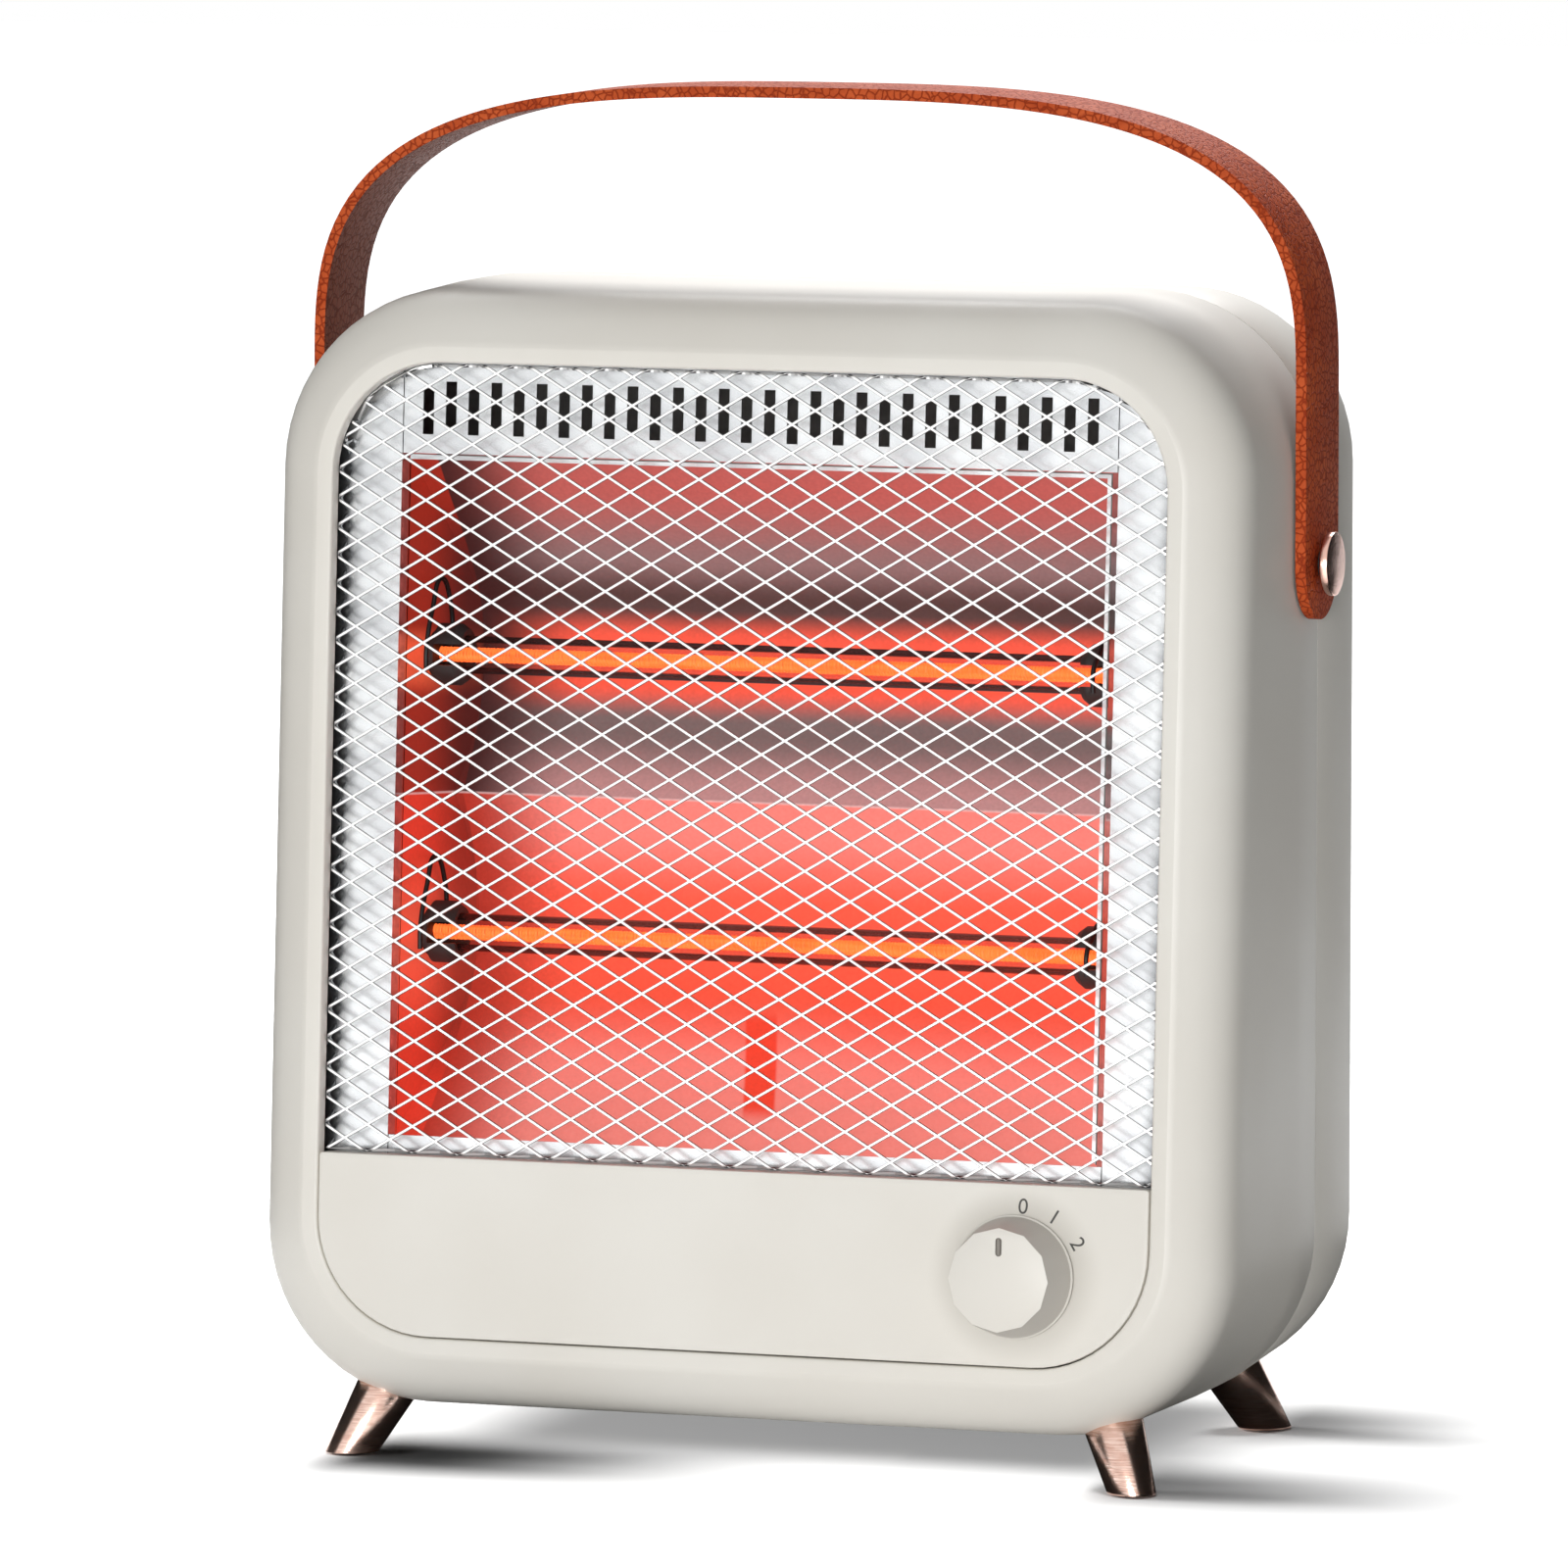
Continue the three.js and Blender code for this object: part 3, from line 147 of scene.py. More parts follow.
def freeze(piece):
    # its place, turn and size go into its shape
    choose(piece)
    bpy.ops.object.transform_apply(location=True, rotation=True, scale=True)


def repeated(piece, count, step):
    work(piece, "ARRAY", count=count, use_relative_offset=False, use_constant_offset=True,
         constant_offset_displace=step)


def block(size, place):
    # a plain box to cut with
    settle()
    bpy.ops.mesh.primitive_cube_add(size=1)
    piece = bpy.context.object
    piece.scale, piece.location = size, place
    return piece


def rod(radius, long, place=(0, 0, 0), turn=(0, 0, 0), steps=32):
    # a plain cylinder to cut with
    settle()
    bpy.ops.mesh.primitive_cylinder_add(
        vertices=steps, radius=radius, depth=long, location=place, rotation=turn)
    return bpy.context.object


def toMesh(piece):
    # a line or text made a mesh, its caps joined on
    choose(piece)
    bpy.ops.object.convert(target="MESH")
    bpy.ops.object.mode_set(mode="EDIT")
    tidyNormals()
    settle()
    return bpy.context.object


def turnTo(piece, toward, place):
    # lays a piece made along +Z along another direction, at its place
    piece.rotation_euler = Vector(toward).to_track_quat("Z", "Y").to_euler()
    piece.location = place
    freeze(piece)


def nodeName(name):
    # legFrontLeft -> leg_front_left
    return "".join("_" + letter.lower() if letter.isupper() else letter for letter in name)


def ready(piece, body, finish, stands=(), front=False, angle=32):
    # millimetres to metres, leaning with the front where asked, and onto its body
    piece.scale = (mm, mm, mm)
    if front:
        piece.rotation_euler = (-lean, 0, 0)
        piece.location = (0, frontFoot * mm, 0)
    freeze(piece)
    bpy.ops.object.shade_smooth_by_angle(angle=math.radians(angle))
    piece.data.materials.clear()
    piece.data.materials.append(finish)
    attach(piece, body)
    if stands:
        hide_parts(*stands)
    settle()
    return piece


def copied(piece, name):
    twin = piece.copy()
    twin.data = piece.data.copy()
    twin.name = name
    scene.collection.objects.link(twin)
    return twin


def pickNew(height=None):
    # picks the points that belong to no ring yet: all of them, or those at a height
    shape = openShape()
    ringOf = shape.verts.layers.int["ring"]
    for v in shape.verts:
        v.select_set(v[ringOf] == 0 and (height is None or abs(v.co.z - height) < 0.001))
    shape.select_flush_mode()
    bmesh.update_edit_mesh(bpy.context.object.data)


def addRing(half, low, high, lowRound, highRound, y, leaning=False, steps=14):
    # a rounded rectangle that stands upright at y, or leans with the front from y
    stretch = math.cos(lean) if leaning else 1
    low, high = low / stretch, high / stretch
    bpy.ops.mesh.select_mode(type="VERT")
    bpy.ops.mesh.primitive_plane_add(size=2, rotation=(quarter, 0, 0))
    bpy.ops.transform.resize(value=(half, 1, (high - low) / 2), center_override=(0, 0, 0))
    bpy.ops.transform.translate(value=(0, y, (low + high) / 2))
    shape = openShape()
    ringOf = shape.verts.layers.int.get("ring") or shape.verts.layers.int.new("ring")
    number = 1 + max(v[ringOf] for v in shape.verts)
    for height, radius in ((low, lowRound), (high, highRound)):
        pickNew(height)
        bpy.ops.mesh.bevel(offset=radius, segments=steps, affect="VERTICES", profile=0.5)
    pickNew()
    bpy.ops.mesh.delete(type="ONLY_FACE")
    pickNew()
    if leaning:
        bpy.ops.transform.rotate(value=lean, orient_axis="X", center_override=(0, y, 0))
    shape = openShape()
    ringOf = shape.verts.layers.int["ring"]
    for v in shape.verts:
        if v[ringOf] == 0:
            v[ringOf] = number
    bmesh.update_edit_mesh(bpy.context.object.data)
    return number


def joinRings(rings, closed=False):
    # rings are argument lists; neighbours are joined point by point, and ends are capped
    numbers = [addRing(*ring) for ring in rings]
    shape = openShape()
    ringOf = shape.verts.layers.int["ring"]
    loops = []
    for number in numbers:
        loop = [v for v in shape.verts if v[ringOf] == number]
        middle = sum(v.co.z for v in loop) / len(loop)
        loops.append(sorted(loop, key=lambda v: math.atan2(v.co.z - middle, v.co.x)))
    pairs = list(zip(loops, loops[1:]))
    if closed:
        pairs.append((loops[-1], loops[0]))
    else:
        shape.faces.new(loops[0])
        shape.faces.new(loops[-1])
    for first, second in pairs:
        for i in range(len(first)):
            shape.faces.new((first[i - 1], first[i], second[i], second[i - 1]))
    bmesh.update_edit_mesh(bpy.context.object.data)
    tidyNormals()


def turned(name, profile, steps=64):
    # a profile of (radius, along) points, drawn by extruding and spun about Z
    piece = blank(name)
    bpy.ops.mesh.select_mode(type="VERT")
    bpy.ops.mesh.primitive_plane_add(size=0.1)
    bpy.ops.mesh.merge(type="CENTER")
    radius, along = profile[0]
    bpy.ops.transform.translate(value=(radius, 0, along))
    for nextRadius, nextAlong in profile[1:]:
        step = (nextRadius - radius, 0, nextAlong - along)
        bpy.ops.mesh.extrude_region_move(TRANSFORM_OT_translate={"value": step})
        radius, along = nextRadius, nextAlong
    bpy.ops.mesh.select_all(action="SELECT")
    bpy.ops.mesh.spin(steps=steps, angle=2 * math.pi, center=(0, 0, 0), axis=(0, 0, 1))
    tidyNormals()
    bpy.ops.mesh.delete_loose()
    settle()
    return piece


def pickEdges(test):
    bpy.ops.mesh.select_mode(type="EDGE")
    bpy.ops.mesh.select_all(action="DESELECT")
    for edge in openShape().edges:
        edge.select_set(test(edge))
    bmesh.update_edit_mesh(bpy.context.object.data)


def extrudeAll(step):
    bpy.ops.mesh.select_all(action="SELECT")
    bpy.ops.mesh.extrude_region_move(TRANSFORM_OT_translate={"value": step})


def moveAll(step):
    bpy.ops.mesh.select_all(action="SELECT")
    bpy.ops.transform.translate(value=step)


def depthOf(place):
    # how far a place lies behind the leaning front
    return (place.y - frontFoot) * math.cos(lean) - place.z * math.sin(lean)


leftAndRight = (("Left", -1), ("Right", 1))


# shader maths
class Tap:
    # one output of a node; sums and products add Math nodes
    def __init__(self, finish, socket):
        self.finish = finish
        self.socket = socket

    def join(self, operation, other, swapped=False):
        first, second = (other, self) if swapped else (self, other)
        return self.finish.add("ShaderNodeMath", {"operation": operation}, {0: first, 1: second})

    def __add__(self, other):
        return self.join("ADD", other)

    def __radd__(self, other):
        return self.join("ADD", other, True)

    def __sub__(self, other):
        return self.join("SUBTRACT", other)

    def __rsub__(self, other):
        return self.join("SUBTRACT", other, True)

    def __mul__(self, other):
        return self.join("MULTIPLY", other)

    def __rmul__(self, other):
        return self.join("MULTIPLY", other, True)


class Finish:
    # a material with one Principled shader, built up node by node
    def __init__(self, name, **fixed):
        self.material = bpy.data.materials.new(name)
        self.material.use_nodes = True
        self.tree = self.material.node_tree
        self.shader = self.tree.nodes["Principled BSDF"]
        self.set(**fixed)

    def set(self, **fixed):
        for key, value in fixed.items():
            socket = self.shader.inputs[socketName(key)]
            if isinstance(value, Tap):
                self.tree.links.new(value.socket, socket)
            else:
                socket.default_value = value
        return self

    def add(self, kind, settings=None, values=None, out=0):
        node = self.tree.nodes.new(kind)
        for key, value in (settings or {}).items():
            setattr(node, key, value)
        for key, value in (values or {}).items():
            socket = node.inputs[key]
            if isinstance(value, Tap):
                self.tree.links.new(value.socket, socket)
            else:
                socket.default_value = value
        return Tap(self, node.outputs[out])

    def place(self, scale=(1, 1, 1), turn=(0, 0, 0), shift=(0, 0, 0)):
        # the piece's own coordinates, in metres, stretched and turned
        spot = self.add("ShaderNodeTexCoord", out="Object")
        values = {"Vector": spot, "Scale": scale, "Rotation": turn, "Location": shift}
        return self.add("ShaderNodeMapping", {}, values)

    def part(self, spot, axis):
        return self.add("ShaderNodeSeparateXYZ", {}, {0: spot}, axis)

    def length(self, spot):
        return self.add("ShaderNodeVectorMath", {"operation": "LENGTH"}, {0: spot}, "Value")

    def minus(self, first, second):
        return self.add("ShaderNodeVectorMath", {"operation": "SUBTRACT"}, {0: first, 1: second})

    def dot(self, first, second):
        return self.add("ShaderNodeVectorMath", {"operation": "DOT_PRODUCT"}, {0: first, 1: second}, "Value")

    def facing(self):
        return self.add("ShaderNodeNewGeometry", out="True Normal")

    def noise(self, spot, scale, detail=3.0, roughness=0.5, out=0):
        values = {"Vector": spot, "Scale": scale, "Detail": detail, "Roughness": roughness}
        return self.add("ShaderNodeTexNoise", {}, values, out)

    def blend(self, share, first, second):
        settings = {"data_type": "RGBA", "clamp_factor": True}
        return self.add("ShaderNodeMix", settings, {0: share, 6: first, 7: second}, out=2)

    def range(self, value, low, high, toLow=0.0, toHigh=1.0):
        values = {0: value, 1: low, 2: high, 3: toLow, 4: toHigh}
        return self.add("ShaderNodeMapRange", {"interpolation_type": "SMOOTHSTEP"}, values)

    def away(self, value, middle):
        # distance from a middle, either way
        return self.add("ShaderNodeMath", {"operation": "ABSOLUTE"}, {0: value - middle})

    def bump(self, height, strength, distance):
        values = {"Height": height, "Strength": strength, "Distance": distance}
        self.set(normal=self.add("ShaderNodeBump", {}, values))
        return self


def socketName(key):
    # baseColor -> Base Color
    if key == "specular":
        return "Specular IOR Level"
    words = "".join(" " + c if c.isupper() else c for c in key).split()
    return " ".join(word[0].upper() + word[1:] for word in words)


def rgb(red, green, blue):
    # a colour picked from the photograph, 0-255, as Blender's linear values
    def linear(value):
        value /= 255
        return value / 12.92 if value <= 0.04045 else ((value + 0.055) / 1.055) ** 2.4

    return (linear(red), linear(green), linear(blue), 1)


# finishes
creamTone = {"face": (239, 236, 228), "shade": (234, 230, 221), "grain": 1500}


def creamPlastic(name, roughness, tone=creamTone, sides=None, around=None):
    finish = Finish(name, specular=0.4)
    spot = finish.place()
    broad = finish.noise(spot, 14, 2)
    grain = finish.noise(spot, tone["grain"], 2)
    colour = finish.blend(finish.range(broad, 0.3, 0.7), rgb(*tone["face"]), rgb(*tone["shade"]))
    if sides:
        # painted shade: greyer where the surface turns away from the front, as if less lit there
        facing = finish.facing()
        flat = finish.dot(facing, frontWay)
        colour = finish.blend(finish.range(flat, 0.4, 0.8), rgb(*sides), colour)
    if around:
        # painted shade: softly darker round a place on the panel, standing for the knob's shadow
        x, z, near, far, shaded = around
        offset = finish.place((1, 0, 1), shift=(-x, 0, -z))
        away = finish.length(offset)
        colour = finish.blend(finish.range(away, near, far), rgb(*shaded), colour)
    finish.set(
        baseColor=colour,
        roughness=roughness + 0.07 * (grain - 0.5) + 0.05 * (broad - 0.5),
    )
    return finish.bump(grain, 0.12, 0.00004).material


shellCream = creamPlastic("shellCream", 0.42)
# painted shade round the knob on the panel
panelCream = creamPlastic("panelCream", 0.46, around=(0.0863, 0.0622, 0.0172, 0.027, (212, 208, 199)))
# painted shade: the knob's sides are painted greyer
knobCream = creamPlastic("knobCream", 0.4, sides=(208, 203, 195))
# painted shade for the pointer's groove
paintedGrooveTone = {"face": (148, 143, 135), "shade": (138, 133, 125), "grain": 1500}
grooveShade = creamPlastic("grooveShade", 0.6, paintedGrooveTone)


def roseMetal(name, pattern, pale, deep):
    # rose-gold plate; the pattern gives the brush lines from 0 to 1
    finish = Finish(name, metallic=1.0)
    lines = pattern(finish)
    finish.set(
        baseColor=finish.blend(lines, rgb(*pale), rgb(*deep)),
        roughness=0.15 + 0.12 * lines,
    )
    return finish.bump(lines, 0.35, 0.00003).material


def levelBrushing(finish):
    # short strokes round the leg
    fine = finish.noise(finish.place((90, 90, 5200)), 1, 3, 0.6)
    patchy = finish.noise(finish.place((260, 260, 900)), 1, 2)
    return finish.range(0.65 * fine + 0.35 * patchy, 0.3, 0.7)


def turnedBrushing(finish):
    # rings round the stud's middle
    spot = finish.place((0, 1, 1), shift=(0, -0.01669, -0.26))
    far = finish.length(spot)
    values = {"W": far * 9000, "Scale": 1.0, "Detail": 3.0}
    ring = finish.add("ShaderNodeTexNoise", {"noise_dimensions": "1D"}, values)
    return finish.range(ring, 0.3, 0.7)


legMetal = roseMetal("legRoseMetal", levelBrushing, (248, 220, 206), (204, 158, 140))
studMetal = roseMetal("studRoseMetal", turnedBrushing, (238, 196, 181), (222, 174, 158))


def tanLeather():
    # pebbled calf, browner on the side that faces the hand
    finish = Finish("tanLeather", specular=0.09)
    spot = finish.place()
    warp = finish.noise(spot, 210, 3, 0.6, out="Color")
    bent = finish.add("ShaderNodeVectorMath", {"operation": "SCALE"}, {0: warp, "Scale": 0.0016})
    moved = finish.add("ShaderNodeVectorMath", {"operation": "ADD"}, {0: spot, 1: bent})
    cells = finish.add(
        "ShaderNodeTexVoronoi",
        {"feature": "DISTANCE_TO_EDGE"},
        {"Vector": moved, "Scale": 430.0, "Randomness": 1.0},
    )
    pebble = finish.range(cells, 0.0, 0.16)
    pores = finish.noise(spot, 1500, 3, 0.6)
    tone = finish.noise(spot, 90, 3)
    crease = finish.blend(tone, rgb(140, 47, 20), rgb(158, 58, 26))
    crown = finish.blend(finish.range(tone, 0.3, 0.7), rgb(192, 78, 36), rgb(214, 98, 50))
    outside = finish.blend(pebble * (0.75 + 0.25 * pores), crease, crown)
    inside = finish.blend(pebble * (0.6 + 0.4 * pores), rgb(92, 46, 33), rgb(122, 66, 50))
    # the strap swings, so its normals are taken in its own frame
    own = {"vector_type": "NORMAL", "convert_from": "WORLD", "convert_to": "OBJECT"}
    facing = finish.add("ShaderNodeVectorTransform", own, {0: finish.facing()})
    middle = finish.minus(spot, (0, 0.0167, 0.27))
    outward = finish.dot(middle, facing)
    finish.set(
        baseColor=finish.blend(finish.range(outward, -0.04, -0.02), inside, outside),
        roughness=0.68 - 0.12 * pebble + 0.1 * (pores - 0.5),
    )
    return finish.bump(pebble + 0.18 * pores, 0.55, 0.00035).material


leather = tanLeather()


def sheetMetal(name, tone, roughness, waves=0.25, shade=0.94):
    finish = Finish(name, metallic=1.0)
    spot = finish.place()
    broad = finish.noise(spot, 22, 2)
    scuffs = finish.noise(finish.place((700, 700, 90)), 1, 4, 0.65)
    finish.set(
        baseColor=finish.blend(finish.range(broad, 0.35, 0.65), rgb(*tone), rgb(*[c * shade for c in tone])),
        roughness=roughness + 0.06 * (scuffs - 0.5) + 0.05 * (broad - 0.5),
    )
    return finish.bump(broad, waves, 0.0009).material


def polishedPlate():
    # rolled bright sheet, with painted shade at its left and right ends behind the net's turned rim
    finish = Finish("polishedSheet", metallic=1.0)
    spot = finish.place()
    across = finish.away(finish.part(spot, 0), 0)
    clouds = finish.noise(spot, 52, 1)
    scuffs = finish.noise(finish.place((700, 700, 90)), 1, 4, 0.65)
    bright = finish.blend(finish.range(clouds, 0.35, 0.68), rgb(226, 228, 229), rgb(207, 209, 211))
    # painted shade: darker past the net's turned rim
    edge = finish.range(across + 0.003 * (clouds - 0.5), 0.1195, 0.1262)
    finish.set(
        baseColor=finish.blend(edge, bright, rgb(92, 94, 96)),
        roughness=0.25 + 0.04 * (scuffs - 0.5) + 0.04 * (clouds - 0.5),
    )
    return finish.bump(clouds, 0.12, 0.0005).material


faceSheet = polishedPlate()


def netSheet():
    # bright rolled faces; the strands' sides and backs get painted shade
    finish = Finish("brightNetSteel", metallic=0.35)
    facing = finish.facing()
    flat = finish.dot(facing, frontWay)
    spot = finish.place()
    netSpeckle = finish.noise(spot, 700, 2)
    paintedEdgeShade = finish.blend(netSpeckle, rgb(46, 47, 48), rgb(78, 80, 81))
    finish.set(
        # painted shade: faces that turn away from the front are painted dark
        baseColor=finish.blend(finish.range(finish.away(flat, 0), 0.78, 0.95), paintedEdgeShade, rgb(252, 252, 251)),
        roughness=0.34 + 0.08 * (finish.noise(spot, 90, 3) - 0.5),
    )
    return finish.bump(netSpeckle, 0.1, 0.00005).material


netSteel = netSheet()
zincSteel = sheetMetal("zincSteel", (186, 188, 192), 0.35, 0.1)


sheetGlow = {
    # heights of the strips lit by the painted tube glow and of the ridge, and the painted red reflection patch as
    # x, x, up, up
    "lowRow": 0.1483, "highRow": 0.2305, "ridge": 0.1922, "patch": (-0.008, 0.0015, 0.102, 0.132),
}
# painted light: tones of the tubes' glow, its reflections and the dusky shade bands on the trough
glowTones = {
    "pink": (250, 142, 132), "red": (250, 92, 68), "dusk": (84, 60, 58), "grey": (150, 121, 121),
    "rose": (200, 102, 96), "ash": (120, 105, 104), "pale": (196, 147, 146), "deep": (70, 35, 34),
    "ember": (188, 58, 44),
}


def glowingSheet():
    # polished trough with painted light: the tubes' glow and its reflections are painted on it, red near a tube,
    # pink away from it, and greyer with painted dusky shade bands in the upper trough; painted shade darkens it
    # towards the left corner
    finish = Finish("reflectorSheet", metallic=0.4)
    shift = (0, -frontFoot * mm * math.cos(lean), -frontFoot * mm * math.sin(lean))
    spot = finish.place(turn=(lean, 0, 0), shift=shift)
    across = finish.part(spot, 0)
    up = finish.part(spot, 2)
    tones = {key: rgb(*value) for key, value in glowTones.items()}
    wander = 0.003 * (finish.noise(finish.place((25, 25, 8)), 1, 3) - 0.5)
    isUpper = finish.range(up, sheetGlow["ridge"] - 0.0004, sheetGlow["ridge"] + 0.0004)
    beside = finish.away(up + wander, sheetGlow["lowRow"])
    rise = up + wander - sheetGlow["highRow"]
    fall = 0 - rise
    lower = finish.blend(finish.range(beside, 0.012, 0.036), tones["red"], tones["pink"])
    above = finish.blend(finish.range(rise, 0.007, 0.017), tones["red"], tones["dusk"])
    above = finish.blend(finish.range(rise, 0.019, 0.032), above, tones["grey"])
    above = finish.blend(finish.range(rise, 0.03, 0.053), above, tones["rose"])
    below = finish.blend(finish.range(fall, 0.005, 0.016), tones["red"], tones["ash"])
    below = finish.blend(finish.range(fall, 0.019, 0.037), below, tones["pale"])
    upper = finish.blend(finish.range(rise, -0.0006, 0.0006), below, above)
    # painted shade: darker towards the trough's left corner
    corner = finish.range(across, -0.1, -0.062)
    upper = finish.blend(corner, tones["deep"], upper)
    lower = finish.blend(corner, tones["ember"], lower)
    # the left end wall, with the tube's light painted on it and painted shade deeper in
    wall = finish.range(across, -0.0985, -0.098)
    nearTube = finish.range(finish.away(rise, 0), 0.004, 0.011)
    upperWall = finish.blend(nearTube, rgb(245, 98, 66), rgb(168, 48, 34))
    lowerWall = finish.blend(finish.range(beside, 0.004, 0.03), rgb(250, 96, 72), rgb(226, 64, 46))
    wallTone = finish.blend(isUpper, lowerWall, upperWall)
    wallShade = finish.blend(isUpper, rgb(130, 44, 36), rgb(58, 34, 34))
    depth = finish.part(spot, 1)
    wallTone = finish.blend(finish.range(depth, 0.018, 0.046, 0.0, 0.8), wallTone, wallShade)
    tint = finish.blend(wall, wallTone, finish.blend(isUpper, lower, upper))
    # a painted red reflection on the lower trough
    left, right, low, high = sheetGlow["patch"]
    middle, halfLong, halfTall = (left + right) / 2, (right - left) / 2, (high - low) / 2
    sideways = finish.away(across + 0.33 * (up - (low + high) / 2), middle)
    upward = finish.away(up, (low + high) / 2)
    patch = finish.range(sideways, halfLong - 0.0006, halfLong + 0.0006, 1.0, 0.0)
    patch = patch * finish.range(upward, halfTall - 0.004, halfTall + 0.001, 1.0, 0.0)
    tint = finish.blend(patch, tint, rgb(246, 76, 54))
    # painted highlight: a pale line along the ridge
    line = finish.range(finish.away(up, sheetGlow["ridge"]), 0.0001, 0.0005, 1.0, 0.0)
    tint = finish.blend(0.6 * line, tint, rgb(240, 205, 203))
    # painted glow: the faces towards the tubes emit their tint, though the sheet is no lamp
    facing = finish.facing()
    middle = finish.minus(spot, (0, 0.0298, 0.1922))
    outward = finish.dot(middle, facing)
    inside = finish.range(outward, -0.001, 0.001, 1.0, 0.0)
    grain = finish.noise(finish.place((60, 60, 900)), 1, 4, 0.6)
    fleck = finish.noise(finish.place(), 900, 2)
    finish.set(
        baseColor=finish.blend(0.45 + 0.3 * (fleck - 0.5), (0, 0, 0, 1), tint),
        roughness=0.4 + 0.12 * (grain - 0.5),
        emissionColor=finish.blend(inside, (0, 0, 0, 1), tint),
        emissionStrength=0.62,
    )
    return finish.bump(grain, 0.12, 0.0002).material


troughSheet = glowingSheet()


def quartz():
    # clear in the middle and shiny; painted shade makes it dark and opaque towards its edges, where it is seen
    # edge-on
    finish = Finish("quartzGlass", baseColor=rgb(52, 34, 32), roughness=0.08, specular=0.5)
    edge = finish.add("ShaderNodeLayerWeight", {}, {"Blend": 0.5}, out="Facing")
    cloud = finish.noise(finish.place((30, 300, 300)), 1, 2)
    finish.set(alpha=finish.range(edge, 0.36, 0.5, 0.02, 0.9) + 0.03 * cloud)
    return finish.material


tubeGlass = quartz()


def glowingWire():
    finish = Finish("glowingWire", baseColor=rgb(255, 120, 60), roughness=0.6)
    heat = finish.noise(finish.place((55, 800, 800)), 1, 3)
    finish.set(
        emissionColor=finish.blend(finish.range(heat, 0.3, 0.7), rgb(255, 96, 36), rgb(255, 132, 60)),
        emissionStrength=1.0,
    )
    return finish.material


hotWire = glowingWire()


def plain(name, tone, roughness, grain, strength=0.3, metallic=0.0, distance=0.0001):
    # small parts: a mottled colour with a fine grain
    finish = Finish(name, metallic=metallic)
    spot = finish.place()
    mottle = finish.noise(spot, grain * 0.2, 3)
    fine = finish.noise(spot, grain, 3, 0.6)
    finish.set(
        baseColor=finish.blend(finish.range(mottle, 0.3, 0.7), rgb(*tone), rgb(*[c * 0.86 for c in tone])),
        roughness=roughness + 0.1 * (fine - 0.5),
    )
    return finish.bump(fine, strength, distance).material


darkCeramic = plain("darkCeramic", (44, 42, 41), 0.6, 900)
paleCeramic = plain("paleCeramic", (226, 221, 205), 0.55, 900)
blackWire = plain("blackWire", (26, 25, 25), 0.45, 1400, 0.2, 0.4)
blackRubber = plain("blackRubber", (34, 33, 33), 0.8, 1100, 0.5)
blackPlastic = plain("blackPlastic", (38, 38, 39), 0.5, 1300, 0.2)
# painted shade for the casing's inside and the hem's gap
insideDark = plain("insideDark", (128, 129, 126), 0.8, 900, 0.1)
redInsulation = plain("redInsulation", (158, 38, 28), 0.5, 700, 0.2)
dialInk = plain("dialInk", (74, 72, 68), 0.6, 2000, 0.1)
print("finishes ready")

# casing
casing = {
    "half": 147.5, "low": 14.2, "high": 337.3, "round": 52,
    "seam": 25.391, "back": 79.391, "bevelDepth": 21, "bevelEnd": 0.95,
    "wall": 2.5, "backWall": 4.5, "rearTaper": 2, "rearRound": 15, "seamLip": 0.45,
}
opening = {
    "half": 125.9, "low": 36.187, "high": 316.96, "lowRound": 34.5, "highRound": 32,
    "flat": 4.7, "edge": 0.8, "lip": 5, "lipSeat": 5.7,
}
bevelCurve = [(0, 0), (0.55, 0.2), (1, 0.35), (1, 1)]  # across and back, as shares


def bevelAt(t):
    parts = ((1 - t) ** 3, 3 * t * (1 - t) ** 2, 3 * t * t * (1 - t), t ** 3)
    return [sum(p * point[i] for p, point in zip(parts, bevelCurve)) for i in (0, 1)]


def casingRing(share, grow, y, leaning=False):
    flat = opening["flat"]
    crease = (
        opening["half"] + flat,
        (opening["low"] - flat) * math.cos(lean),
        (opening["high"] + flat) * math.cos(lean),
        opening["lowRound"] + flat,
        opening["highRound"] + flat,
    )
    widest = (casing["half"], casing["low"], casing["high"], casing["round"], casing["round"])
    signs = (1, -1, 1, 1, 1)
    values = [a + (b - a) * share + sign * grow for a, b, sign in zip(crease, widest, signs)]
    return (*values, frontFoot + y if leaning else y, leaning)


def openingRing(grow, depth):
    drop = depth * math.sin(lean)
    return (
        opening["half"] + grow,
        (opening["low"] - grow) * math.cos(lean) - drop,
        (opening["high"] + grow) * math.cos(lean) - drop,
        opening["lowRound"] + grow,
        opening["highRound"] + grow,
        frontFoot + depth / math.cos(lean),
        True,
    )


def bevelRings(grow=0.0, steps=14):
    rings = []
    for i in range(steps + 1):
        across, back = bevelAt(i / steps)
        rings.append(casingRing(across * casing["bevelEnd"], grow, back * casing["bevelDepth"] - grow, True))
    return rings


def rearRings(inward, y, steps=8):
    radius = casing["rearRound"] - inward
    rings = []
    for i in range(steps + 1):
        angle = quarter * i / steps
        inset = casing["rearTaper"] + inward + radius * (1 - math.cos(angle))
        rings.append(casingRing(1, -inset, y - radius * (1 - math.sin(angle))))
    return rings


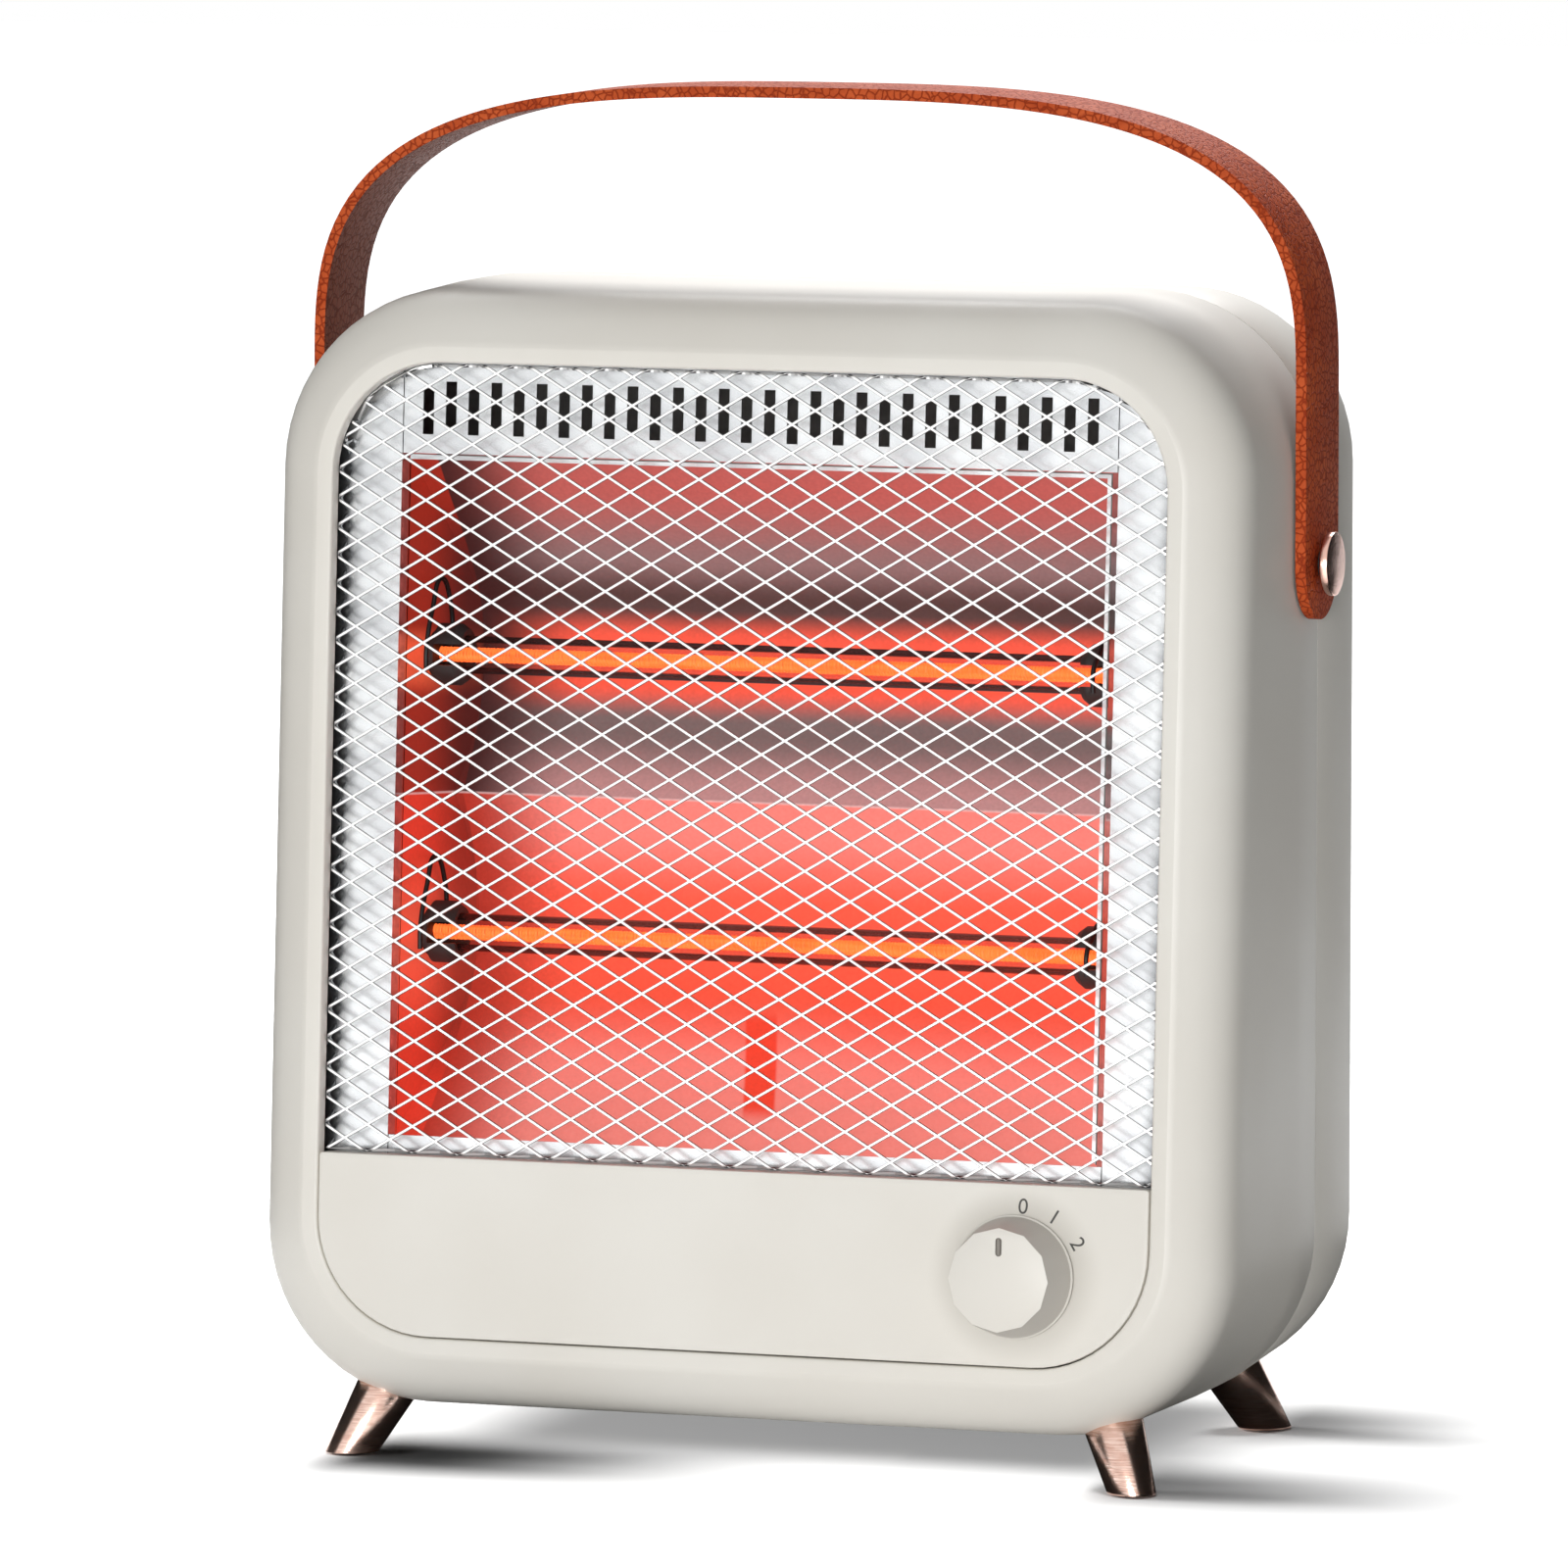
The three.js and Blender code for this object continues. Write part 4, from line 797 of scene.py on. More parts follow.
def frontCasing():
    edge = opening["edge"]
    rings = [openingRing(0, opening["lip"]), openingRing(0, edge)]
    for i in range(1, 5):
        angle = quarter * i / 4
        rings.append(openingRing(edge * (1 - math.cos(angle)), edge * (1 - math.sin(angle))))
    rings.append(openingRing(opening["flat"] - 0.3, 0))
    rings += bevelRings()
    seam, lip, wall = casing["seam"] - 0.15, casing["seamLip"], casing["wall"]
    for grow, y in ((0, 5), (0, seam - lip), (-0.12, seam - 0.1), (-lip, seam), (-wall, seam)):
        rings.append(casingRing(1, grow, y))
    rings.append(casingRing(casing["bevelEnd"], -wall, casing["bevelDepth"] + wall, True))
    rings.append(casingRing(casing["bevelEnd"] * 0.85, -wall, 12.5, True))
    rings.append(openingRing(opening["lipSeat"], opening["lip"]))
    piece = blank("frontCasing")
    joinRings(rings, closed=True)
    return ready(piece, "casing", shellCream, ["front_shell"], angle=30)


rearVent = {"middle": 186, "rows": 12, "pitch": 15, "long": 80, "tall": 4, "rib": 14}
rearScrew = {
    "across": 127.5, "heights": (49.6, 278.3), "head": 3.4, "recess": 3.8, "deep": 2.8,
    "shank": 1.7, "long": 75,
}
gland = {"x": 70, "z": 48, "flange": 9, "body": 6, "bore": 3.8, "thick": 3, "inside": 12}


def rearCasing():
    seam, lip, wall = casing["seam"] + 0.15, casing["seamLip"], casing["wall"]
    rings = rearRings(wall, casing["back"] - casing["backWall"])[::-1]
    for grow, y in ((-wall, seam), (-lip, seam), (-0.12, seam + 0.1), (0, seam + lip)):
        rings.append(casingRing(1, grow, y))
    rings += rearRings(0, casing["back"])
    piece = blank("rearCasing")
    joinRings(rings)
    # one slot, then the rows of them
    slot = blank("slotCutter")
    bpy.ops.mesh.primitive_cube_add(size=1)
    bpy.ops.transform.resize(value=(rearVent["long"], 20, rearVent["tall"]))
    pick(lambda place, normal: abs(abs(place.x) - rearVent["long"] / 2) < 0.1 and abs(place.y) < 0.1, "EDGE")
    bpy.ops.mesh.bevel(offset=rearVent["tall"] / 2 - 0.05, segments=6, affect="EDGES")
    start = (rearVent["rows"] - 1) * rearVent["pitch"] / 2
    moveAll((-(rearVent["long"] + rearVent["rib"]) / 2, casing["back"], rearVent["middle"] - start))
    repeated(slot, rearVent["rows"], (0, 0, rearVent["pitch"]))
    repeated(slot, 2, (rearVent["long"] + rearVent["rib"], 0, 0))
    carve(piece, slot)
    upright = (quarter, 0, 0)
    for side in (-1, 1):
        for z in rearScrew["heights"]:
            place = (side * rearScrew["across"], casing["back"], z)
            carve(piece, rod(rearScrew["recess"], 2 * rearScrew["deep"], place, upright, 40))
    place = (gland["x"], casing["back"], gland["z"])
    carve(piece, rod(gland["body"] + 0.3, 2 * gland["inside"], place, upright, 48))
    return ready(piece, "casing", shellCream, ["rear_shell"], angle=30)


def paintShadeInside(piece):
    # painted shade: the walls inside the casing are painted dark grey, as the shade seen through the slots
    piece.data.materials.append(insideDark)
    for face in piece.data.polygons:
        place = face.center / mm
        depth = depthOf(place)
        inward = face.normal.dot(Vector((face.center.x, face.center.y, face.center.z - 0.178))) < 0
        if inward and depth > 5.6 and place.y < 75.2 and abs(place.y - casing["seam"]) > 0.3:
            face.material_index = 1


paintShadeInside(frontCasing())
paintShadeInside(rearCasing())
print("casing modelled")


# control panel and its dial marks
panel = {"top": 88.6, "gap": 0.45, "edge": 0.35, "deep": 6.5, "topRound": 1}
dial = {
    "x": 86.3, "up": 62.3, "tall": 4.4,
    "marks": [("0", 88.3, 82.2, 5), ("1", 97.6, 79.6, 31), ("2", 104.6, 72.4, 59)],
}


def controlPanel():
    piece = blank("controlPanel")
    edge, gap = panel["edge"], panel["gap"]

    def outline(grow, depth):
        return (
            opening["half"] - gap + grow,
            opening["low"] + gap - grow,
            panel["top"] + grow,
            opening["lowRound"] - gap + grow,
            max(panel["topRound"] + grow, 0.3),
            depth,
        )

    rings = [outline(-1.5, 0)]
    for i in range(4):
        angle = quarter * i / 3
        rings.append(outline(-edge * (1 - math.sin(angle)), edge * (1 - math.cos(angle))))
    joinRings(rings + [outline(0, panel["deep"])])
    return ready(piece, "casing", panelCream, ["control_panel"], front=True, angle=30)


def dialMark(text, x, up, turn, number):
    settle()
    bpy.ops.object.text_add()
    mark = bpy.context.object
    mark.data.body = text
    mark.data.size = dial["tall"] / 0.7
    mark.data.align_x = "CENTER"
    mark.data.align_y = "CENTER"
    mark.data.extrude = 0.02
    mark.name = f"dialMark{number}"
    mark = toMesh(mark)
    # stand the flat text up, lean it round the dial and set it on the panel
    upright = Matrix.Rotation(math.radians(turn), 4, "Y") @ Matrix.Rotation(quarter, 4, "X")
    mark.matrix_world = Matrix.Translation((x, -0.03, up)) @ upright
    freeze(mark)
    return ready(mark, "casing", dialInk, front=True)


controlPanel()
for number, (text, x, up, turn) in enumerate(dial["marks"]):
    dialMark(text, x, up, turn, number)
print("panel modelled")

# knob
knob = {
    "base": 0.5, "skirt": 17.7, "skirtTall": 1.3, "foot": 17.25, "face": 14.9, "height": 15.0, "edge": 0.25,
    "sides": 12, "pointer": (1.85, 5.3, 0.7, 0.5), "pointerMiddle": 9.4, "hollow": 8.5, "hollowDeep": 4,
}


def pointerBar(name, wide, long, deep, z):
    bar = blank(name)
    bpy.ops.mesh.primitive_cube_add(size=1)
    bpy.ops.transform.resize(value=(wide, long, deep))
    pick(lambda place, normal: abs(place.z) < 0.01, "EDGE")
    bpy.ops.mesh.bevel(offset=wide / 2 - 0.02, segments=6, affect="EDGES")
    moveAll((0, knob["pointerMiddle"], z))
    settle()
    return bar


def knobPiece():
    piece = blank("knobBody")
    bpy.ops.mesh.select_mode(type="VERT")
    sides, fine = knob["sides"], 4
    count = sides * fine
    top = knob["base"] + knob["height"]
    # round skirt with a chamfer, then a taper that turns from round to twelve-sided
    rounds = [
        (knob["hollow"], knob["base"] + knob["hollowDeep"]),
        (knob["hollow"], knob["base"]),
        (knob["skirt"] - 0.4, knob["base"]),
        (knob["skirt"], knob["base"] + 0.3),
        (knob["skirt"], knob["base"] + knob["skirtTall"] - 0.3),
        (knob["skirt"] - 0.3, knob["base"] + knob["skirtTall"]),
        (knob["foot"], knob["base"] + knob["skirtTall"] + 0.15),
    ]
    for radius, z in rounds:
        bpy.ops.mesh.primitive_circle_add(vertices=count, radius=radius, location=(0, 0, z))
    face, edge = knob["face"], knob["edge"]
    faces = [(face, top - edge), (face - edge * 0.3, top - edge * 0.3), (face - edge, top)]
    for radius, z in faces:
        bpy.ops.mesh.primitive_circle_add(vertices=sides, radius=radius, location=(0, 0, z))
        bpy.ops.mesh.subdivide(number_cuts=fine - 1)
    levels = rounds + faces
    for (lowRadius, low), (highRadius, high) in zip(levels, levels[1:]):
        pick(lambda place, normal: any(
            abs(place.z - z) < 0.001 and abs(place.xy.length - radius) < (0.02 if z < 3 else 0.6)
            for radius, z in ((lowRadius, low), (highRadius, high))))
        bpy.ops.mesh.bridge_edge_loops()
    pick(lambda place, normal: abs(place.z - top) < 0.001)
    bpy.ops.mesh.edge_face_add()
    pick(lambda place, normal: abs(place.z - levels[0][1]) < 0.001 and place.xy.length < knob["hollow"] + 0.1)
    bpy.ops.mesh.edge_face_add()
    tidyNormals()
    # the pointer is a groove round a small bar with round ends
    wide, long, deep, groove = knob["pointer"]
    carve(piece, pointerBar("pointerCutter", wide, long, 2 * deep, top))
    bar = pointerBar("pointerBar", wide - 2 * groove, long - 2 * groove, 2 * deep, top - deep - 0.05)
    carve(piece, bar, "UNION")
    # face it out of the panel
    piece.rotation_euler = (quarter, 0, 0)
    piece.location = (dial["x"], 0, dial["up"])
    freeze(piece)
    ready(piece, "knob", knobCream, ["knob"], front=True, angle=24)
    # painted shade: the faces in the pointer's groove get the darker grey
    piece.data.materials.append(grooveShade)
    for face in piece.data.polygons:
        place = face.center / mm
        aside = math.hypot(place.x - dial["x"], place.z / math.cos(lean) - dial["up"] - knob["pointerMiddle"])
        if -top + 0.02 < depthOf(place) < 0.06 - top + deep and aside < long:
            face.material_index = 1


knobPiece()
print("knob modelled")

# grille: expanded steel with its edges turned back
net = {
    "pitchWide": 13.85, "pitchTall": 8.2, "strand": 0.82, "thick": 0.8, "bevel": 0.1,
    "nodeX": -84.46, "nodeUp": 260.87, "depth": 3.5, "half": 125.5, "low": 89.0, "high": 316.56,
    "lowRound": 1.6, "highRound": 31.6, "fold": 1.0, "turned": 5.6,
}


def netCell():
    # one diamond hole with half of each strand round it
    halfWide, halfTall = net["pitchWide"] / 2, net["pitchTall"] / 2
    slant = math.hypot(halfWide, halfTall)
    keep = 1 - net["strand"] * slant / (2 * halfWide * halfTall)
    piece = blank("meshGrille")
    bpy.ops.mesh.select_mode(type="VERT")
    trim = net["bevel"]
    levels = [(1, 0), (keep + trim / halfTall, 0), (keep, trim), (keep, net["thick"]), (1, net["thick"])]
    for share, depth in levels:
        bpy.ops.mesh.primitive_circle_add(vertices=4, radius=1, rotation=(quarter, 0, 0))
        bpy.ops.transform.resize(value=(halfWide * share, 1, halfTall * share), center_override=(0, 0, 0))
        bpy.ops.transform.translate(value=(0, depth, 0))
    for (lowShare, low), (highShare, high) in zip(levels, levels[1:]):
        pick(lambda place, normal: any(
            abs(place.y - depth) < 0.001 and abs(abs(place.x) / halfWide + abs(place.z) / halfTall - share) < 0.001
            for share, depth in ((lowShare, low), (highShare, high))))
        bpy.ops.mesh.bridge_edge_loops()
    settle()
    return piece


def meshGrille():
    piece = netCell()
    wide, tall = net["pitchWide"], net["pitchTall"]
    reach = net["turned"] + 2
    columnsLeft = math.ceil((net["nodeX"] + net["half"] + reach) / wide) + 1
    rowsDown = math.ceil((net["nodeUp"] - net["low"] + reach) / tall) + 1
    columns = columnsLeft + math.ceil((net["half"] + reach - net["nodeX"]) / wide) + 1
    rows = rowsDown + math.ceil((net["high"] + reach - net["nodeUp"]) / tall) + 1
    # holes sit half a pitch beside the crossings
    piece.location = (net["nodeX"] - (columnsLeft + 0.5) * wide, 0, net["nodeUp"] - rowsDown * tall)
    freeze(piece)
    repeated(piece, 2, (wide / 2, 0, tall / 2))
    repeated(piece, columns, (wide, 0, 0))
    repeated(piece, rows, (0, 0, tall))
    bpy.context.view_layer.objects.active = piece
    bpy.ops.object.mode_set(mode="EDIT")
    tidyNormals()
    # close the sheet's own rim, then cut the sheet to its blank
    pickEdges(lambda edge: edge.is_boundary and max(v.co.y for v in edge.verts) < net["thick"] / 2)
    bpy.ops.mesh.extrude_edges_move(TRANSFORM_OT_translate={"value": (0, net["thick"], 0)})
    tidyNormals()
    settle()
    reach = net["turned"]
    cutter = blank("netCutter")
    outline = (net["half"] + reach, net["low"] - reach, net["high"] + reach, 0.5, net["highRound"] + reach)
    joinRings([(*outline, -5), (*outline, 6)])
    settle()
    carve(piece, cutter, "INTERSECT")
    for side in (-1, 1):
        # a notch at each lower corner, so that the turned rims don't meet
        carve(piece, block((20, 20, 20), (side * (net["half"] - 0.3 + 10), 0, net["low"] + 0.3 - 10)))
    return piece


def beyondOutline(place):
    # how far a place in the flat sheet lies past the start of the bend, and which way
    bend = net["fold"]
    half, low, high = net["half"] - bend, net["low"] + bend, net["high"] - bend
    radius = net["highRound"] - bend if place.z > (low + high) / 2 else max(net["lowRound"] - bend, 0.6)
    nearX = max(min(place.x, half - radius), radius - half)
    core = Vector((nearX, max(min(place.z, high - radius), low + radius)))
    away = Vector((place.x, place.z)) - core
    return away.length - radius, core, radius, away


def foldBack(piece):
    # the rim turns back round a small bend; its strands are divided there first
    bend = net["fold"]
    bpy.context.view_layer.objects.active = piece
    bpy.ops.object.mode_set(mode="EDIT")

    def acrossBend(edge):
        past = [beyondOutline(v.co)[0] for v in edge.verts]
        return max(past) > 0 and min(past) < bend * quarter and abs(past[0] - past[1]) > 0.45

    for cuts in (4, 3):
        pickEdges(acrossBend)
        bpy.ops.mesh.subdivide(number_cuts=cuts)
    settle()
    for v in piece.data.vertices:
        depth = v.co.y
        beyond, core, radius, away = beyondOutline(v.co)
        if beyond > 0:
            away.normalize()
            angle = min(beyond / bend, quarter)
            straight = max(beyond - bend * quarter, 0)
            out = radius + (bend - depth) * math.sin(angle)
            back = bend * (1 - math.cos(angle)) + straight + depth * math.cos(angle)
            v.co = (core.x + away.x * out, back, core.y + away.y * out)
        v.co.y += net["depth"]


grille = meshGrille()
foldBack(grille)
ready(grille, "casing", netSteel, ["mesh_grille"], front=True, angle=20)
print("grille modelled:", len(grille.data.polygons), "faces")

# trough reflector
trough = {
    "middle": 192.23, "half": 98.43, "rim": 11.1, "ridge": 39, "deep": 54, "sheet": 0.8, "flange": 4.5,
    "endAtRim": 106.5, "endLean": 8.5 / 42.9,
    "shares": [(0, 0), (0.12, 0.5), (0.26, 0.88), (0.42, 1), (0.58, 0.9), (0.74, 0.6), (0.88, 0.27), (1, 0)],
}


def throughPoints(points, steps):
    # a smooth line through points
    line = []
    for i in range(len(points) - 1):
        before, first, second = points[max(i - 1, 0)], points[i], points[i + 1]
        after = points[min(i + 2, len(points) - 1)]
        for step in range(steps):
            t = step / steps
            line.append(tuple(
                0.5 * (2 * b + (c - a) * t + (2 * a - 5 * b + 4 * c - d) * t * t + (3 * b - a - 3 * c + d) * t ** 3)
                for a, b, c, d in zip(before, first, second, after)
            ))
    return line + [points[-1]]


def drawLine(points):
    # a line of edges in the open piece, extruded point by point
    bpy.ops.mesh.select_mode(type="VERT")
    bpy.ops.mesh.primitive_plane_add(size=0.1)
    bpy.ops.mesh.merge(type="CENTER")
    bpy.ops.transform.translate(value=points[0])
    for before, after in zip(points, points[1:]):
        step = [b - a for a, b in zip(before, after)]
        bpy.ops.mesh.extrude_region_move(TRANSFORM_OT_translate={"value": step})


def reflectorSheet():
    piece = blank("reflectorSheet")
    half = []
    for i, (across, deep) in enumerate(trough["shares"]):
        shallow = trough["ridge"] if i < 4 else trough["rim"]
        half.append((trough["half"] * across, shallow + (trough["deep"] - shallow) * deep))
    half = throughPoints(half, 5) + [(trough["half"] + trough["flange"], trough["rim"])]
    line = [(-across, depth) for across, depth in half[:0:-1]] + half
    reach = trough["endAtRim"] + trough["flange"]
    drawLine([(-reach, depth, trough["middle"] + across) for across, depth in line])
    extrudeAll((2 * reach, 0, 0))
    for side in (-1, 1):
        bpy.ops.mesh.select_all(action="SELECT")
        bpy.ops.mesh.bisect(
            plane_co=(side * (trough["endAtRim"] - 0.1), trough["rim"], 0),
            plane_no=(side, trough["endLean"], 0), clear_outer=True)
    bpy.ops.mesh.select_all(action="SELECT")
    bpy.ops.mesh.normals_make_consistent(inside=False)
    pick(lambda place, normal: True, "FACE")
    flat = [face for face in openShape().faces if abs(face.normal.y) > 0.9]
    if flat and flat[0].normal.y > 0:
        bpy.ops.mesh.flip_normals()
    settle()
    work(piece, "SOLIDIFY", thickness=trough["sheet"], offset=-1)
    return ready(piece, "casing", troughSheet, ["reflector"], front=True, angle=40)


reflectorSheet()

hem = {"half": 106.2, "low": 94.1, "high": 290.4, "wide": 1.5, "gap": 0.4, "depth": 11.3, "thick": 0.4}


def reflectorHem():
    # a narrow bright lip round three sides of the window, behind a gap drawn as a band of painted shade
    half, low, high, wide, gap = (hem[key] for key in ("half", "low", "high", "wide", "gap"))
    piece = blank("reflectorHem")
    for start, end in ((0, gap), (gap, wide)):
        for inset in (start, end):
            corners = [(-half, low + inset), (half - inset, low + inset)]
            corners += [(half - inset, high - inset), (-half, high - inset)]
            drawLine([(x, hem["depth"], z) for x, z in corners])
    shape = openShape()
    rows = list(shape.verts)
    for first, second in ((rows[0:4], rows[4:8]), (rows[8:12], rows[12:16])):
        for i in range(3):
            shape.faces.new((first[i], first[i + 1], second[i + 1], second[i]))
    bmesh.update_edit_mesh(piece.data)
    tidyNormals()
    pick(lambda place, normal: True, "FACE")
    if next(iter(openShape().faces)).normal.y > 0:
        bpy.ops.mesh.flip_normals()
    settle()
    work(piece, "SOLIDIFY", thickness=hem["thick"], offset=-1)
    ready(piece, "casing", faceSheet, front=True, angle=30)
    # painted shade: the outer band stands for the dark gap
    piece.data.materials.append(insideDark)
    for face in piece.data.polygons:
        x, z = face.center.x / mm, face.center.z / mm / math.cos(lean)
        if x > half - gap or not low + gap < z + hem["depth"] * math.tan(lean) < high - gap:
            face.material_index = 1


reflectorHem()

# heating tubes with their coils, holders and clips
tube = {
    "rows": {"Lower": trough["middle"] - 40.2, "Upper": trough["middle"] + 40.2},
    "depth": 29.8, "outer": 5.5, "glass": 1.0, "half": 103,
}
coil = {"radius": 1.9, "wire": 0.42, "pitch": 0.95, "half": 102.5, "steps": 10}
holder = {
    "inner": 94, "flange": 9, "inside": 8.8, "neck": 7.2, "long": 20, "bore": 5.55, "socket": 9.1,
    "slotLong": 8.4, "slotHalf": 3.1,
}
clip = {"x": 101, "wire": 0.75, "front": 16, "back": 5, "drop": 4.5, "rises": {"Left": 22, "Right": 9.8}}


def quartzTube(row, up):
    outer, inner, half = tube["outer"], tube["outer"] - tube["glass"], tube["half"]
    soft = 0.3
    profile = [
        (inner, -half + soft), (inner + soft, -half), (outer - soft, -half), (outer, -half + soft),
        (outer, half - soft), (outer - soft, half), (inner + soft, half), (inner, half - soft),
        (inner, -half + soft),
    ]
    piece = turned(f"quartzTube{row}", profile, 40)
    turnTo(piece, (1, 0, 0), (0, tube["depth"], up))
    ready(piece, "casing", tubeGlass, [nodeName("quartzTube" + row)], front=True)


def wireAlong(name, wire, kind, places, fine):
    # a round wire along places
    line = bpy.data.curves.new(name, "CURVE")
    line.dimensions = "3D"
    line.bevel_depth = wire
    line.bevel_resolution = fine
    line.use_fill_caps = True
    spline = line.splines.new(kind)
    points = spline.bezier_points if kind == "BEZIER" else spline.points
    points.add(len(places) - 1)
    for point, place in zip(points, places):
        if kind == "BEZIER":
            point.co = place
            point.handle_left_type = point.handle_right_type = "AUTO"
        else:
            point.co = (*place, 1)
    piece = bpy.data.objects.new(name, line)
    scene.collection.objects.link(piece)
    return toMesh(piece)


def heatingCoil(row, up):
    # a helix of glowing wire
    steps, turns = coil["steps"], round(2 * coil["half"] / coil["pitch"])
    places = []
    for i in range(turns * steps + 1):
        angle = 2 * math.pi * i / steps
        x = -coil["half"] + coil["pitch"] * i / steps
        y, z = tube["depth"] + coil["radius"] * math.cos(angle), up + coil["radius"] * math.sin(angle)
        places.append((x, y, z))
    piece = wireAlong("heatingCoil" + row, coil["wire"], "POLY", places, 0)
    ready(piece, "casing", hotWire, [nodeName("heatingCore" + row)], front=True, angle=60)


def tubeHolder(row, up, side, name):
    # a spool whose front is cut open, so that the lit tube shows in it
    flange, neck, bore, inside = holder["flange"], holder["neck"], holder["bore"], holder["inside"]
    profile = [(bore, 0.4), (bore + 0.4, 0), (flange - 1.6, 0), (flange, 2.2), (flange, inside - 0.6)]
    profile += [(neck + 0.3, inside - 0.6), (neck, inside - 0.3), (neck, holder["long"] - 0.6)]
    profile += [(neck - 0.6, holder["long"]), (0, holder["long"])]
    profile += [(0, holder["socket"]), (bore, holder["socket"]), (bore, 0.4)]
    piece = turned(f"tubeHolder{row}{name}", profile, 48)
    turnTo(piece, (side, 0, 0), (side * holder["inner"], tube["depth"], up))
    window = (2 * holder["slotLong"], 20, 2 * holder["slotHalf"])
    carve(piece, block(window, (side * holder["inner"], tube["depth"] - 10, up)))
    ready(piece, "casing", darkCeramic, [nodeName(f"tubeHolder{row}{name}")], front=True)


def tubeClip(row, up, side, name):
    # a bent wire that stands over the tube's end
    rise, front, back, drop = clip["rises"][name], clip["front"], clip["back"], clip["drop"]
    points = [(up - drop, -front), (up + 2, -front), (up + rise * 0.62, -front * 0.72)]
    points += [(up + rise, (back - front) / 2)]
    points += [(up + rise * 0.62, back * 0.72), (up + 2, back), (up - drop, back)]
    places = [(side * clip["x"], tube["depth"] + y, z) for z, y in points]
    piece = wireAlong(f"tubeClip{row}{name}", clip["wire"], "BEZIER", places, 2)
    ready(piece, "casing", blackWire, [nodeName(f"tubeClip{row}{name}")], front=True, angle=60)


for row, up in tube["rows"].items():
    quartzTube(row, up)
    heatingCoil(row, up)
    for name, side in leftAndRight:
        tubeHolder(row, up, side, name)
        tubeClip(row, up, side, name)
print("heating parts modelled")

# leather handle
strap = {
    "inner": 148.1, "thick": 3.15, "wide": 32, "y": 16.691, "pivot": 260, "straight": 50, "rise": 81.15,
    "power": 3.1, "step": 4, "bore": 3.3, "edge": 0.55,
}


def strapLine():
    spring = strap["pivot"] + strap["straight"]
    fine, count = [], 2400
    for i in range(count + 1):
        angle = math.pi * i / count
        side = 1 if math.cos(angle) > 0 else -1
        across = side * abs(math.cos(angle)) ** (2 / strap["power"])
        fine.append((strap["inner"] * across, spring + strap["rise"] * math.sin(angle) ** (2 / strap["power"])))
    bottom = strap["pivot"] - strap["wide"] / 2
    fine = [(strap["inner"], bottom)] + fine + [(-strap["inner"], bottom)]
    lengths = [0.0]
    for (x1, z1), (x2, z2) in zip(fine, fine[1:]):
        lengths.append(lengths[-1] + math.hypot(x2 - x1, z2 - z1))
    count = round(lengths[-1] / strap["step"])
    points, i = [], 0
    for number in range(count + 1):
        goal = lengths[-1] * number / count
        while i < len(lengths) - 2 and lengths[i + 1] < goal:
            i += 1
        share = (goal - lengths[i]) / (lengths[i + 1] - lengths[i])
        points.append([a + (b - a) * share for a, b in zip(fine[i], fine[i + 1])])
    return points


def leatherStrap():
    piece = blank("leatherStrap")
    near = strap["y"] - strap["wide"] / 2
    drawLine([(x, near, z) for x, z in strapLine()])
    extrudeAll((0, strap["wide"], 0))
    bpy.ops.mesh.select_all(action="SELECT")
    bpy.ops.mesh.normals_make_consistent(inside=False)
    pick(lambda place, normal: True, "FACE")
    top = max(openShape().faces, key=lambda face: face.calc_center_median().z)
    if top.normal.z < 0:
        bpy.ops.mesh.flip_normals()
    settle()
    work(piece, "SOLIDIFY", thickness=strap["thick"], offset=1, use_even_offset=True)
    # round tips: what lies inside an upright plate with half-round ends
    plate = blank("tipCutter")
    bpy.ops.mesh.primitive_plane_add(size=1, rotation=(0, quarter, 0))
    bottom = strap["pivot"] - strap["wide"] / 2
    bpy.ops.transform.resize(value=(1, strap["wide"] + 0.02, 200), center_override=(0, 0, 0))
    bpy.ops.transform.translate(value=(-200, strap["y"], bottom + 100))
    pick(lambda place, normal: place.z < bottom + 1)
    bpy.ops.mesh.bevel(offset=strap["wide"] / 2, segments=24, affect="VERTICES", profile=0.5)
    extrudeAll((400, 0, 0))
    bpy.ops.mesh.select_all(action="SELECT")
    bpy.ops.mesh.normals_make_consistent(inside=False)
    settle()
    carve(piece, plate, "INTERSECT")
    carve(piece, rod(strap["bore"], 400, (0, strap["y"], strap["pivot"]), (0, quarter, 0)))
    work(piece, "BEVEL", width=strap["edge"], segments=3, limit_method="ANGLE", angle_limit=math.radians(50))
    return ready(piece, "handle", leather, ["handle_strap"], angle=40)


leatherStrap()

stud = {"face": 155.55, "disc": 9.2, "thick": 2.5, "edge": 0.45, "neck": 3, "inside": 139.5}


def handleStud(name, side):
    edge, thick = stud["edge"], stud["thick"]
    long = stud["face"] - stud["inside"]
    profile = [(0, 0), (stud["neck"] - 0.4, 0), (stud["neck"], 0.4), (stud["neck"], long - thick)]
    disc = stud["disc"]
    profile += [(disc - edge, long - thick), (disc, long - thick + edge), (disc, long - edge)]
    profile += [(disc - edge * 0.3, long - edge * 0.3), (disc - edge, long), (0, long)]
    piece = turned(f"handleStud{name}", profile, 72)
    turnTo(piece, (side, 0, 0), (side * stud["inside"], strap["y"], strap["pivot"]))
    ready(piece, "casing", studMetal, [nodeName("handleStud" + name)])


for name, side in leftAndRight:
    handleStud(name, side)
print("handle modelled")

# legs and pads
leg = {
    "x": 118.9, "yFront": -57.609, "yBack": 72.391, "splay": 0.4536, "foot": 6.7, "top": 10.2,
    "rise": 34, "lift": 0.6, "below": 6, "edge": 0.35, "peg": 4, "pegFrom": 12,
}
pad = {"radius": 5, "thick": 3, "edge": 0.5, "gap": 0.3}


